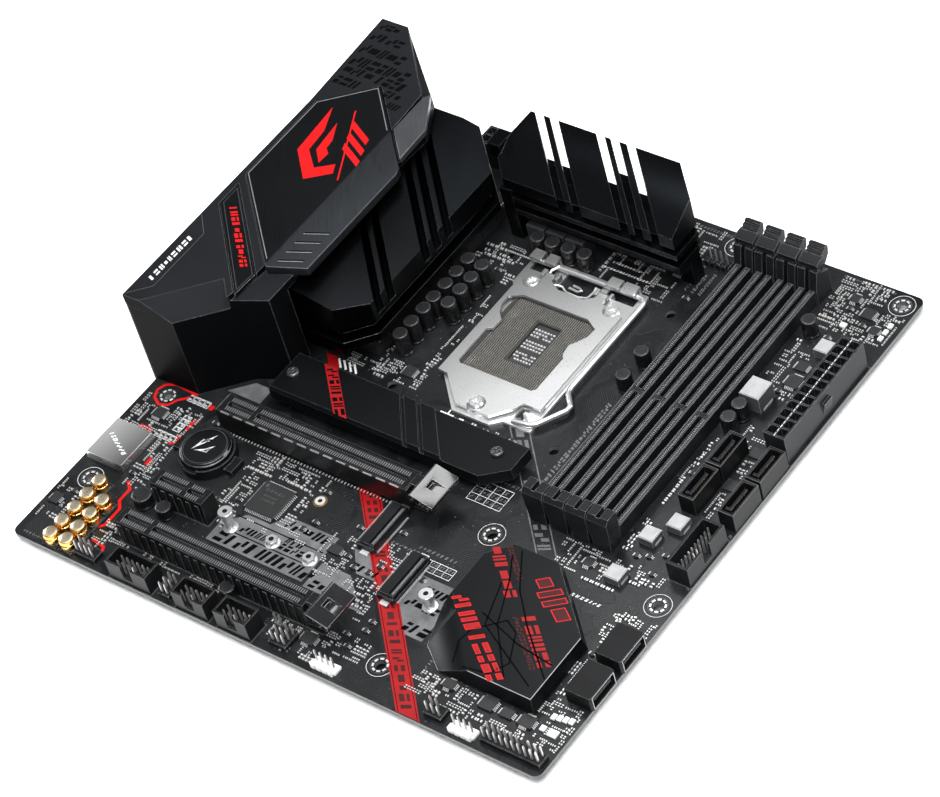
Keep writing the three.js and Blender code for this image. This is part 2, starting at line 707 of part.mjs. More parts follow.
function portCover() {
  const lower = [
    [-122.1, -36.8], [-101, -36], [-85, -20], [-70.7, -13.4], [-70.7, -3.4],
    [-87, -3.4], [-87, 104.7], [-107, 122.5], [-122.1, 122.5],
  ];
  const middle = [
    [-122.9, -36.8], [-101, -36], [-85, -20], [-70.7, -13.4], [-70.7, 1.2],
    [-72, 4], [-72, 60], [-70.4, 83], [-79.4, 99.4], [-110, COVER_END], [-122.9, COVER_END],
  ];
  const upper = [
    [-122.9, -36.8], [-101, -36], [-84.4, -19.9], [-82, -4], [-82.4, 97.4],
    [-110, COVER_END], [-122.9, COVER_END],
  ];
  const rise = alongX(
    [[-40, COVER_TOP], [78, COVER_TOP], [COVER_END, 49.4], [COVER_END + 1, 60], [-40, 60]],
    [-130, -60],
  );
  const hollow = [
    [-125, -34.6], [-102, -34], [-86, -18], [-73, -11.6], [-73, -5.6],
    [-89.2, -5.6], [-89.2, 103.8], [-107.8, 120.3], [-125, 120.3],
  ];
  const across = Math.SQRT1_2;
  const chamfer = sweep(
    [[-45.9, 39.9], [-53.4, 45], [-57.9, 48], [-38, 48], [-38, 39.9]],
    [across, -across, 0],
    [0, 0, 1],
    [74.5, 130],
  );
  return cut(
    join(
      prism(lower, [TOP, 41]),
      prism(middle, [SHIELD.z1 - 1.6, 44]),
      prism(upper, [43.9, 50]),
    ),
    prism(hollow, [0, 39.5]),
    box([-125, SHIELD.x1 + 0.2], [-40, 130], [0, SHIELD.z1 + 0.2]),
    prism(outset(COVER_PLATE, GAP), [42.7, 60]),
    prism(outset(COVER_STRIP, GAP), [44.5, 60]),
    chamfer,
    rise,
  );
}

function coverPlate() {
  const slope = alongY(
    [[-81, PLATE_TOP], [-60, PLATE_TOP - 1.8], [-60, 60], [-81, 60]],
    [-20, 110],
  );
  return cut(prism(COVER_PLATE, [43, PLATE_TOP]), slope);
}

// ---- rear ports, each with its mouth at -X ----
const PORT_FRONT = -123.9;

// A block with rectangular wells in its front face, given as [y0, y1, z0, z1, depth].
function portBlock([y0, y1], height, depth, wells) {
  let block = box([PORT_FRONT, PORT_FRONT + depth], [y0, y1], [TOP, height]);
  for (const [wy0, wy1, wz0, wz1, wellDepth] of wells)
    block = cut(block, box([PORT_FRONT - 1, PORT_FRONT + wellDepth], [wy0, wy1], [wz0, wz1]));
  return block;
}

// A USB-A mouth on one level of a stack, with its tongue.
function usbStack([y0, y1], levels, height) {
  const pitch = (height - TOP) / levels;
  const wells = [];
  for (let i = 0; i < levels; i++) {
    const z = TOP + (i + 0.5) * pitch;
    wells.push([y0 + 0.7, y1 - 0.7, z - 2.8, z + 0.4, 9]);
    wells.push([y0 + 0.7, y1 - 0.7, z + 2.2, z + 2.8, 9]);
    wells.push([y0 + 0.7, y0 + 1.4, z - 2.8, z + 2.8, 9]);
    wells.push([y1 - 1.4, y1 - 0.7, z - 2.8, z + 2.8, 9]);
  }
  return portBlock([y0, y1], height, 17, wells);
}

function facingCylinder(y, z, radius, [x0, x1], segments = 18) {
  const geometry = new THREE.CylinderGeometry(radius, radius, x1 - x0, segments);
  return solidOf(geometry.rotateZ(Math.PI / 2).translate((x0 + x1) / 2, y, z));
}

function keyboardPort() {
  const block = usbStack([103, 116.2], 2, 15.6);
  const upper = box([PORT_FRONT, PORT_FRONT + 13], [103, 116.2], [15.5, 30]);
  const bore = facingCylinder(109.6, 23, 4.7, [PORT_FRONT - 1, PORT_FRONT + 8], 24);
  return cut(join(block, upper), bore);
}

function displayPorts() {
  return portBlock([80, 97], 24.2, 16, [
    [81, 96, 5.2, 9.4, 8],
    [80.9, 96.1, 15, 19.4, 8],
  ]);
}

function networkPort() {
  return portBlock([20, 36.2], 29.6, 20, [
    [21.4, 34.8, 17.4, 27.6, 12],
    [21.4, 34.8, 4.2, 7.2, 9],
    [21.4, 34.8, 10.4, 13.4, 9],
  ]);
}

function radioModule() {
  const post = (y) => facingCylinder(y, 9.6, 3.1, [-131, PORT_FRONT + 1], 20);
  const bore = (y) => facingCylinder(y, 9.6, 2.1, [-132, -127], 16);
  return cut(
    join(box([PORT_FRONT, PORT_FRONT + 16], [1.4, 16.4], [TOP, 15.6]), post(5.2), post(12.6)),
    bore(5.2),
    bore(12.6),
  );
}

const JACK_ROWS = [7.4, 18.6, 29.8];
const JACK_COLUMNS = [-27.6, -14.4];

function audioJacks() {
  let block = box([PORT_FRONT, PORT_FRONT + 12], [-33.6, -8], [TOP, 35.4]);
  JACK_COLUMNS.forEach((y, column) =>
    JACK_ROWS.forEach((z, row) => {
      const optical = column === 0 && row === 0;
      const mouth = optical
        ? box([PORT_FRONT - 1, PORT_FRONT + 6], [y - 3, y + 3], [z - 2.6, z + 2.6])
        : facingCylinder(y, z, 1.9, [PORT_FRONT - 1, PORT_FRONT + 9], 16);
      block = cut(block, mouth);
    }),
  );
  return block;
}

const PORT_OPENINGS = [
  [103, 116.2, 30],
  [80, 97, 24.2],
  [61, 74.2, 15.6],
  [42, 55.2, 15.6],
  [20, 36.2, 29.6],
  [1.4, 16.4, 15.6],
  [-33.6, -8, 35.4],
];

function portShield() {
  const { x0, x1, y0, y1, z0, z1 } = SHIELD;
  let sheet = box([x0, x1], [y0, y1], [z0, z1]);
  for (const [oy0, oy1, height] of PORT_OPENINGS)
    sheet = cut(
      sheet,
      box([x0 - 1, x1 + 1], [oy0 - 0.4, oy1 + 0.4], [TOP - 0.4, height + 0.4]),
    );
  return sheet;
}

// ---- placing everything ----
add("circuit_board", circuitBoard(), "board");

add("socket_backplate", socketBackplate(), "darkSteel");
add("socket_contact_carrier", socketBody(), "greyPlastic");
add("socket_frame", socketFrame(), "steel");
add("socket_load_plate", socketLoadPlate(), "steel");
add("socket_lever", socketLever(), "steel");
add("socket_screw_1", socketScrew(), "steel", [SOCKET.x - REAR_SCREW.dx, REAR_SCREW.y, 3]);
add("socket_screw_2", socketScrew(), "steel", [SOCKET.x + REAR_SCREW.dx, REAR_SCREW.y, 3]);
add("socket_shoulder_screw", shoulderScrew(), "steel", [SOCKET.x, SHOULDER_SCREW_Y, 3]);

for (let i = 0; i < 4; i++) {
  const x = DIMM_FIRST_X + i * DIMM_PITCH;
  add(`memory_slot_${i + 1}`, dimmSlot(), "greyPlastic", [x, 0, 0]);
  add(`memory_latch_${i + 1}`, dimmLatch(), "greyPlastic", [x, 0, 0]);
}

add("long_slot_1", expansionSlot(X16_LENGTH, 4, true), "blackPlastic", [0, slotY(0), 0]);
add("long_slot_1_shell", slotShell(), "paleMetal", [0, slotY(0), 0]);
add("long_slot_1_latch", slotLatch(), "blackPlastic", [0, slotY(0), 0]);
add("short_slot", expansionSlot(X1_LENGTH, 3.75, false), "blackPlastic", [0, slotY(2), 0]);
add("long_slot_2", expansionSlot(X16_LENGTH, 3.75, true), "blackPlastic", [0, slotY(3), 0]);
add("long_slot_2_latch", slotLatch(), "greyPlastic", [0, slotY(3), 0]);

add("main_power_connector", powerConnector(2, 12), "greyPlastic", [116.4, 58.3, 0]);
add("processor_power_connector", powerConnector(4, 2), "greyPlastic", [-66, 116.2, 0]);

[[101.4, 23.2], [101.4, 5.9], [118.3, 23.2], [118.3, 5.9]].forEach(([x, y], i) =>
  add(`drive_port_${i + 1}`, uprightDrivePort(), "blackPlastic", [x, y, 0]),
);
[-65.1, -83].forEach((y, i) =>
  add(`drive_port_${i + 5}`, flatDrivePort(), "greyPlastic", [111.5, y, 0]),
);
add("front_usb_header", shroudedHeader(9.4, 23, 10.6, 1.1, true), "greyPlastic", [116.7, -18.5, 0]);
[[-63, 19.6], [-33.3, 15.2], [-13.3, 15.2]].forEach(([x, length], i) =>
  add(`pin_header_${i + 1}`, shroudedHeader(length, 8.4, 10.4, 0.9, false), "blackPlastic", [x, -117, 0]),
);

add("audio_shield", shieldCan(), "steel", [-110.7, -70.7, 0]);
add("battery_holder", batteryHolder(), "blackPlastic", [BATTERY.x, BATTERY.y, 0]);
add("coin_cell", coinCell(), "battery", [BATTERY.x, BATTERY.y, 0]);
add("card_socket_1", cardSocket(-1), "greyPlastic", [6.4, -58, 0]);
add("card_socket_2", cardSocket(1), "greyPlastic", [27.4, -73.4, 0]);

add("left_power_heatsink", leftHeatsink(), "gunmetal");
add("top_power_heatsink", topHeatsink(), "gunmetal");
add("drive_heatsink", driveHeatsink(), "gunmetal");
add("drive_heatsink_screw_1", driveScrew(), "darkSteel", [-65.5, -18, 12]);
add("drive_heatsink_screw_2", driveScrew(), "darkSteel", [28.5, -15.5, 11.2]);
add("chipset_heatsink", chipsetHeatsink(), "gunmetal");

add("port_cover", portCover(), "gunmetal");
add("cover_plate", coverPlate(), "brushed");
add("cover_strip", prism(COVER_STRIP, [44.8, 46.4]), "brushed");
add("cover_wing", prism(COVER_WING, [44 + GAP, 47]), "paleMetal");
add("port_shield", portShield(), "darkSteel");
add("keyboard_usb_port", keyboardPort(), "steel");
add("display_ports", displayPorts(), "blackPlastic");
add("usb_ports_1", usbStack([61, 74.2], 2, 15.6), "steel");
add("usb_ports_2", usbStack([42, 55.2], 2, 15.6), "steel");
add("network_port", networkPort(), "steel");
add("radio_module", radioModule(), "steel");
add("audio_jacks", audioJacks(), "blackPlastic");

export default motherboard;
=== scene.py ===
"""The look of a micro-ATX motherboard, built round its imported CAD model.

Places and sizes are in millimetres in the CAD frame (X from the rear ports to the front edge, Y towards the
top edge, Z up from the underside) and become metres when a mesh is made. Colours are linear RGB.
"""

import math
import random

import bpy
from mathutils import Matrix, Vector


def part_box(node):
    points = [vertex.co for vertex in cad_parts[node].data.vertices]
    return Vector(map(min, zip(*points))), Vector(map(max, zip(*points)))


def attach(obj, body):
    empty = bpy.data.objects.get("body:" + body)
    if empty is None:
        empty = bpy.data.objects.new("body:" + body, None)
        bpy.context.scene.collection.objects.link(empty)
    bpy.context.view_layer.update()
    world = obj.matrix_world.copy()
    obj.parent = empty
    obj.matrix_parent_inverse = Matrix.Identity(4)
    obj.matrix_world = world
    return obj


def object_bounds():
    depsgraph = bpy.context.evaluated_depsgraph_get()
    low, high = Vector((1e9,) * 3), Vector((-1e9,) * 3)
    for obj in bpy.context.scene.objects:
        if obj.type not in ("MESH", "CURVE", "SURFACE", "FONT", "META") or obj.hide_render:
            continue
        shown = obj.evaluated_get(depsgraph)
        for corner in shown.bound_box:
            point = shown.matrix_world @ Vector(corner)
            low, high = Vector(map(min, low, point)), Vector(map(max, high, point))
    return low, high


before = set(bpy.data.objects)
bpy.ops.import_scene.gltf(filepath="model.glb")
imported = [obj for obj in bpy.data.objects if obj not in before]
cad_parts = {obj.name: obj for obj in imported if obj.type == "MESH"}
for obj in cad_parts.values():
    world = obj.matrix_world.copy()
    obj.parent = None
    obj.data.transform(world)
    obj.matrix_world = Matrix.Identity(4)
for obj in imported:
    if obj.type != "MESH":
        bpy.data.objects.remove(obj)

cad_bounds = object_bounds()

MM = 0.001
INK = 0.04  # thickness of a printed layer
SINK = 0.02  # how far a part's foot goes into what it stands on
PITCH = 2.54  # between header pins
DIAGONAL = math.sqrt(0.5)


def span(node):
    """The (low, high) pairs of a CAD node along X, Y and Z."""
    low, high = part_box(node)
    return [(a / MM, b / MM) for a, b in zip(low, high)]


def middle(node):
    return [(low + high) / 2 for low, high in span(node)]


def roof(node):
    return span(node)[2][1]


def numbered(name, *numbers):
    return [f"{name}_{i}" for i in numbers]


TOP = span("long_slot_2")[2][0]  # the board's component side
BOARD_EDGE = span("circuit_board")[0][1]
MEMORY_SLOTS = numbered("memory_slot", 1, 2, 3, 4)
PIN_HEADERS = numbered("pin_header", 1, 2, 3)
UPRIGHT_PORTS = numbered("drive_port", 1, 2, 3, 4)
LYING_PORTS = numbered("drive_port", 5, 6)
USB_PORTS = numbered("usb_ports", 1, 2)
POWER_CELLS = (("main_power_connector", 2, 12), ("processor_power_connector", 4, 2))


# ---- pairs of (low, high) ----
def about(centre, half):
    return (centre - half, centre + half)


def beside(centre, side, near, far):
    """The stretch from near to far on one side of a centre, -1 or 1."""
    return tuple(sorted((centre + side * near, centre + side * far)))


def standing(height):
    """From just inside the board's top up to a height over it."""
    return (TOP - SINK, TOP + height)


def printed(z, thick=INK):
    return (z - SINK, z + thick)


# ---- outlines ----
def area(outline):
    pairs = zip(outline, outline[1:] + outline[:1])
    return sum(a[0] * b[1] - b[0] * a[1] for a, b in pairs) / 2


def offset_at(before, here, after, distance, least):
    """The step that moves a corner sideways, to the left, by a distance from both of its sides."""
    a, b = (here - before).normalized(), (after - here).normalized()
    normal = Vector((-a.y - b.y, a.x + b.x))
    return normal * (2 * distance / max(normal.length_squared, least))


def inset(outline, distance):
    """A counter-clockwise outline moved inwards by a distance."""
    points = [Vector(p) for p in outline]
    after = points[1:] + points[:1]
    steps = [offset_at(points[i - 1], p, after[i], distance, 0.2) for i, p in enumerate(points)]
    return [(x + step.x, y + step.y) for (x, y), step in zip(outline, steps)]


def rectangle(xs, ys):
    return [(xs[0], ys[0]), (xs[1], ys[0]), (xs[1], ys[1]), (xs[0], ys[1])]


def circle(x, y, radius, sides):
    turn = 2 * math.pi / sides
    return [(x + radius * math.cos(i * turn), y + radius * math.sin(i * turn)) for i in range(sides)]


def arc(x, y, radius, first, last, steps):
    """Points along an arc, its ends in degrees."""
    angles = [math.radians(first + (last - first) * i / steps) for i in range(steps + 1)]
    return [(x + radius * math.cos(a), y + radius * math.sin(a)) for a in angles]


def at_height(outline, z):
    return [(x, y, z) for x, y in outline]


def spread(first, last, count):
    """Evenly spaced values, both ends included."""
    return [first + (last - first) * i / (count - 1) for i in range(count)]


# ---- closed solids gathered into pieces ----
MARK_SHAPES = (
    [(0, 1, 0, 0.34), (0, 1, 0.62, 1)],
    [(0, 0.4, 0, 1), (0.62, 1, 0, 1)],
    [(0, 1, 0.2, 0.8)],
    [(0, 0.45, 0, 0.62), (0.6, 1, 0.38, 1)],
    [(0, 0.6, 0, 1)],
    [(0, 1, 0, 0.5), (0, 1, 0.7, 1)],
)


class Parts:
    """Closed solids that become one piece, riding on the board."""

    def __init__(self, name, slot):
        self.name, self.slot = name, slot
        self.points, self.faces, self.finish_of, self.finishes = [], [], [], []
        self.matrix = Matrix()

    def keep(self, faces, finish):
        if finish not in self.finishes:
            self.finishes.append(finish)
        self.faces += faces
        self.finish_of += [self.finishes.index(finish)] * len(faces)

    def add_rings(self, rings):
        """Adds rings of points and returns the faces between each ring and the next."""
        start, count = len(self.points), len(rings[0])
        self.points += [self.matrix @ Vector(p) for ring in rings for p in ring]
        lows = [start + i * count for i in range(len(rings))]
        pairs = [(i, (i + 1) % count) for i in range(count)]
        nexts = lows[1:] + lows[:1]
        return [[(a + i, a + j, b + j, b + i) for i, j in pairs] for a, b in zip(lows, nexts)]

    def stack(self, rings, finish):
        """A solid through rings of equally many points, lowest first, each counter-clockwise from above."""
        start, count = len(self.points), len(rings[0])
        walls = self.add_rings(rings)[:-1]
        last = len(self.points) - count
        caps = [tuple(range(start + count - 1, start - 1, -1)), tuple(range(last, last + count))]
        self.keep(caps + sum(walls, []), finish)

    def prism(self, outline, zs, finish, bevel=0.0):
        if area(outline) < 0:
            outline = outline[::-1]
        rings = [at_height(outline, zs[0])]
        if bevel:
            rings.append(at_height(outline, zs[1] - bevel))
            outline = inset(outline, bevel)
        rings.append(at_height(outline, zs[1]))
        self.stack(rings, finish)

    def box(self, xs, ys, zs, finish, bevel=0.0):
        self.prism(rectangle(xs, ys), zs, finish, bevel)

    def block(self, x, y, size, zs, finish, bevel=0.0, turned=False):
        """A box centred on x, y; turned swaps its length and width."""
        half_x, half_y = (size[1] / 2, size[0] / 2) if turned else (size[0] / 2, size[1] / 2)
        self.box(about(x, half_x), about(y, half_y), zs, finish, bevel)

    def turned(self, x, y, profile, finish, sides=24):
        """A solid of revolution through (radius, z) pairs, lowest first."""
        self.stack([at_height(circle(x, y, radius, sides), z) for radius, z in profile], finish)

    def ring(self, inner, outer, zs, finish):
        """A closed band between two outlines of equally many points."""
        low, high = zs
        corners = ((inner, low), (outer, low), (outer, high), (inner, high))
        rings = [at_height(outline, z) for outline, z in corners]
        self.keep(sum(self.add_rings(rings), []), finish)

    def border(self, outline, width, zs, finish):
        self.ring(inset(outline, width), outline, zs, finish)

    def annulus(self, x, y, inner, outer, zs, finish, sides=28):
        self.ring(circle(x, y, inner, sides), circle(x, y, outer, sides), zs, finish)

    def stroke(self, path, width, zs, finish):
        """A flat ribbon of constant width along a path of points."""
        points = [Vector(p) for p in path]
        before = [points[0] * 2 - points[1]] + points[:-1]
        after = points[1:] + [points[-1] * 2 - points[-2]]
        steps = [offset_at(a, here, b, width / 2, 0.5) for a, here, b in zip(before, points, after)]
        right = [tuple(here - step) for here, step in zip(points, steps)]
        left = [tuple(here + step) for here, step in zip(points, steps)]
        self.prism(right + left[::-1], zs, finish)

    def rod(self, path, radius, finish, sides=8):
        """A round wire along a path of 3-D points."""
        points = [Vector(p) for p in path]
        normal = (points[1] - points[0]).normalized().orthogonal()
        rings = []
        for i, here in enumerate(points):
            ahead = (points[min(i + 1, len(points) - 1)] - points[max(i - 1, 0)]).normalized()
            normal = (normal - ahead * normal.dot(ahead)).normalized()
            other = ahead.cross(normal)
            rings.append([tuple(here + normal * a + other * b) for a, b in circle(0, 0, radius, sides)])
        self.stack(rings, finish)

    def pin(self, x, y, zs, width=0.62):
        """A square header pin with a tapered tip."""
        profile = ((width / 2, zs[0]), (width / 2, zs[1] - width), (width / 5, zs[1]))
        self.stack([at_height(rectangle(about(x, h), about(y, h)), z) for h, z in profile], "pin_metal")

    def marks(self, start, angle, length, height, z, finish, seed, gap=0.3, rim=None):
        """A row of abstract slanted blocks, as bold as print but not lettering, rimmed if asked."""
        chance = random.Random(seed)
        along = Vector((math.cos(math.radians(angle)), math.sin(math.radians(angle))))
        across = Vector((-along.y, along.x))
        at = 0.0
        if height < 1.4:
            gap = 0.75
        while at < length:
            cell = height * chance.choice((0.55, 0.75, 0.9))
            for u0, u1, v0, v1 in chance.choice(MARK_SHAPES):
                block = [
                    tuple(Vector(start) + along * (at + u * cell + 0.3 * v * height) + across * v * height)
                    for u, v in rectangle((u0, u1), (v0, v1))
                ]
                self.prism(block, printed(z), finish)
                if rim:
                    self.border(block, 0.35, (z, z + 2 * INK), rim)
            at += cell + gap * height

    def build(self):
        mesh = bpy.data.meshes.new(self.name)
        mesh.from_pydata([p * MM for p in self.points], [], self.faces)
        for finish in self.finishes:
            mesh.materials.append(look(finish))
        mesh.polygons.foreach_set("material_index", self.finish_of)
        mesh.shade_smooth()
        mesh.set_sharp_from_angle(angle=math.radians(35))
        mesh.update()
        piece = bpy.data.objects.new(self.name, mesh)
        bpy.context.scene.collection.objects.link(piece)
        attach(piece, "board")


# ---- materials ----
class Finish:
    """A node material in the making. Texture sizes are millimetres in the CAD frame."""

    def __init__(self, name):
        self.material = bpy.data.materials.new(name)
        self.material.use_nodes = True
        self.tree = self.material.node_tree
        self.shader = self.tree.nodes["Principled BSDF"]
        self.place = self.add("TexCoord").outputs["Object"]

    def add(self, kind, inputs=None, **settings):
        node = self.tree.nodes.new("ShaderNode" + kind)
        for key, value in settings.items():
            setattr(node, key, value)
        for key, value in (inputs or {}).items():
            self.feed(node.inputs[key], value)
        return node

    def feed(self, socket, value):
        if isinstance(value, bpy.types.NodeSocket):
            self.tree.links.new(value, socket)
        elif socket.type == "RGBA":
            socket.default_value = (*value, 1.0)
        else:
            socket.default_value = value

    def mapped(self, size, stretch=(1, 1, 1), turn=0.0):
        turned = self.add("Mapping", {"Vector": self.place, "Rotation": (0, 0, math.radians(turn))})
        scale = [s / (size * MM) for s in stretch]
        return self.add("Mapping", {"Vector": turned.outputs[0], "Scale": scale}).outputs[0]

    def noise(self, size, detail=2.0, stretch=(1, 1, 1), turn=0.0):
        inputs = {"Vector": self.mapped(size, stretch, turn), "Scale": 1.0, "Detail": detail}
        return self.add("TexNoise", inputs).outputs["Fac"]

    def cells(self, size):
        return self.add("TexVoronoi", {"Vector": self.mapped(size), "Scale": 1.0}).outputs["Distance"]

    def stripes(self, size, turn):
        inputs = {"Vector": self.mapped(size, turn=turn), "Scale": 0.5, "Detail": 1.0, "Detail Scale": 0.3}
        return self.add("TexWave", inputs).outputs["Fac"]

    def fit(self, value, low, high, to_low=0.0, to_high=1.0):
        inputs = {"Value": value, "From Min": low, "From Max": high, "To Min": to_low, "To Max": to_high}
        return self.add("MapRange", inputs).outputs[0]

    def maths(self, operation, a, b=0.0):
        return self.add("Math", {0: a, 1: b}, operation=operation).outputs[0]

    def dot(self, a, b):
        return self.add("VectorMath", {0: a, 1: b}, operation="DOT_PRODUCT").outputs["Value"]

    def mix(self, factor, a, b):
        return self.add("Mix", {0: factor, 6: a, 7: b}, data_type="RGBA").outputs[2]

    def along(self, start, end):
        """0 at one point of the board and 1 at another."""
        step = Vector(end) - Vector(start)
        axis = step / step.length_squared / MM
        first = Vector(start).dot(axis) * MM
        return self.fit(self.dot(self.place, (axis.x, axis.y, 0)), first, first + 1)

    def normal(self):
        return self.add("NewGeometry").outputs["Normal"]

    def part(self, vector, axis):
        return self.add("SeparateXYZ", {0: vector}).outputs[axis]

    def edges(self, radius):
        """1 along the solid's edges and 0 on its faces."""
        rounded = self.add("Bevel", {"Radius": radius * MM}, samples=4).outputs[0]
        return self.fit(self.dot(rounded, self.normal()), 0.985, 0.86)

    def bump(self, height, depth):
        return self.add("Bump", {"Height": height, "Distance": depth * MM}).outputs[0]

    def shade(self, colour, roughness, metal, normal, coat=0.0, specular=0.5, ior=1.5):
        inputs = {
            "Base Color": colour, "Roughness": roughness, "Metallic": metal, "Normal": normal,
            "Coat Weight": coat, "Coat Roughness": 0.12, "Specular IOR Level": specular, "IOR": ior,
        }
        for key, value in inputs.items():
            self.feed(self.shader.inputs[key], value)


def scaled(colour, factor):
    return tuple(min(1.0, c * factor) for c in colour)


def surface(name, colour, rough, metal=0.0, vary=0.2, patch=12.0, grain=0.3, depth=0.008, worn=None,
            edge=0.25, brush=None, turn=0.0, coat=0.0, specular=0.5, ior=1.5, sides=None, fade=None,
            swing=0.17):
    """Mottled colour, textured roughness, a fine bump, and edges lightened towards the worn colour: partly
    rubbed wear, partly a painted highlight along the edges.

    Brush stretches the grain. Upright faces take the sides colour, a painted shade.
    A fade is (from point, to point, factor at the end): painted light and shade, the colour scaled towards
    the factor from one point to the other.
    """
    f = Finish(name)
    cloud = f.fit(f.noise(patch, 3.0), 0.3, 0.7)
    fine = f.noise(grain, 2.0, brush or (1, 1, 1), turn)
    shade = f.mix(cloud, scaled(colour, 1 - vary), scaled(colour, 1 + vary))
    shade = f.mix(f.fit(fine, 0.35, 0.65, 0.0, 0.35), shade, scaled(colour, 1 - 2 * vary))
    roughness = f.fit(fine, 0.25, 0.75, rough * (1 - swing), min(1.0, rough * (1 + swing)))
    # Painted shade: faces that stand upright take the darker sides colour.
    if sides:
        shade = f.mix(f.fit(f.part(f.normal(), "Z"), 0.4, 0.8), sides, shade)
    # Painted light and shade: the colour brightens or darkens from one point of the board to another.
    if fade:
        shade = f.mix(f.along(fade[0], fade[1]), shade, scaled(colour, fade[2]))
    # Edges take the worn colour, far brighter than the body: partly rubbed wear, partly a painted highlight
    # where edges would catch the light.
    if worn:
        patchy = f.fit(f.noise(1.6, 2.0), 0.3, 0.6, 0.35, 1.0)
        wear_and_highlight = f.maths("MULTIPLY", f.edges(edge), patchy)
        shade = f.mix(wear_and_highlight, shade, worn)
        roughness = f.maths("SUBTRACT", roughness, f.maths("MULTIPLY", wear_and_highlight, rough * 0.35))
    f.shade(shade, roughness, metal, f.bump(fine, depth), coat, specular, ior)
    return f


def laminate():
    """Black solder mask: faint copper runs under it, small vias, and bare pads on the underside."""
    f = Finish("laminate")
    cloud = f.fit(f.noise(26, 3.0), 0.35, 0.65)
    shade = f.mix(cloud, (0.0030, 0.0034, 0.0040), (0.0060, 0.0066, 0.0074))
    raised = f.maths("MULTIPLY", f.fit(f.noise(9, 0.0), 0.5, 0.515), 0.6)
    for size, turn, field, patch in ((1.5, 45, 0.52, 21), (1.3, -45, 0.55, 17), (1.7, 0, 0.56, 24)):
        where = f.fit(f.noise(patch, 1.0, turn=turn), field, field + 0.02)
        runs = f.maths("MULTIPLY", f.fit(f.stripes(size, turn), 0.55, 0.75), where)
        raised = f.maths("MAXIMUM", runs, raised)
    shade = f.mix(f.maths("MULTIPLY", raised, 0.5), shade, (0.014, 0.0155, 0.0175))
    vias = f.maths("MULTIPLY", f.fit(f.cells(2.3), 0.115, 0.085), f.fit(f.noise(8, 1.0), 0.5, 0.54))
    shade = f.mix(f.maths("MULTIPLY", vias, 0.7), shade, (0.12, 0.125, 0.13))
    bare = f.maths("LESS_THAN", f.part(f.place, "Z"), -0.05 * MM)
    shade = f.mix(bare, shade, (0.42, 0.43, 0.43))
    edge = f.maths("LESS_THAN", f.maths("ABSOLUTE", f.part(f.normal(), "Z")), 0.5)
    shade = f.mix(edge, shade, (0.10, 0.105, 0.105))
    fine = f.noise(0.5, 2.0)
    height = f.maths("ADD", raised, f.maths("MULTIPLY", fine, 0.25))
    f.shade(shade, f.fit(fine, 0.3, 0.7, 0.27, 0.36), f.maths("MULTIPLY", bare, 0.8), f.bump(height, 0.03),
            specular=0.32)
    return f


def pale_floor():
    """White paper, painted dark beneath the board as a shadow, and lit a little from within beyond it."""
    f = surface("pale_floor", (0.90, 0.90, 0.90), 0.8, vary=0.01, patch=200, grain=6, depth=0.02)
    x, y = (f.maths("ABSOLUTE", f.part(f.place, axis)) for axis in "XY")
    reach = f.maths("MAXIMUM", x, y)
    # The glow starts just inside the board's edge and is full 8 mm out, so the floor right next to the board
    # stays darker: painted shade.
    glow = f.fit(reach, (BOARD_EDGE - 1) * MM, (BOARD_EDGE + 8) * MM, 0.0, 0.35)
    # Painted shadow: the floor's colour is dark beneath the board and turns white 3 mm inside its edge.
    beyond = f.fit(reach, (BOARD_EDGE - 12) * MM, (BOARD_EDGE - 3) * MM)
    f.feed(f.shader.inputs["Base Color"], f.mix(beyond, (0.02, 0.02, 0.02), (0.9, 0.9, 0.9)))
    f.feed(f.shader.inputs["Emission Color"], (1, 1, 1))
    f.feed(f.shader.inputs["Emission Strength"], glow)
    return f


def of(*values, **settings):
    """A row of the table below: what surface() takes after the name."""
    return values, settings
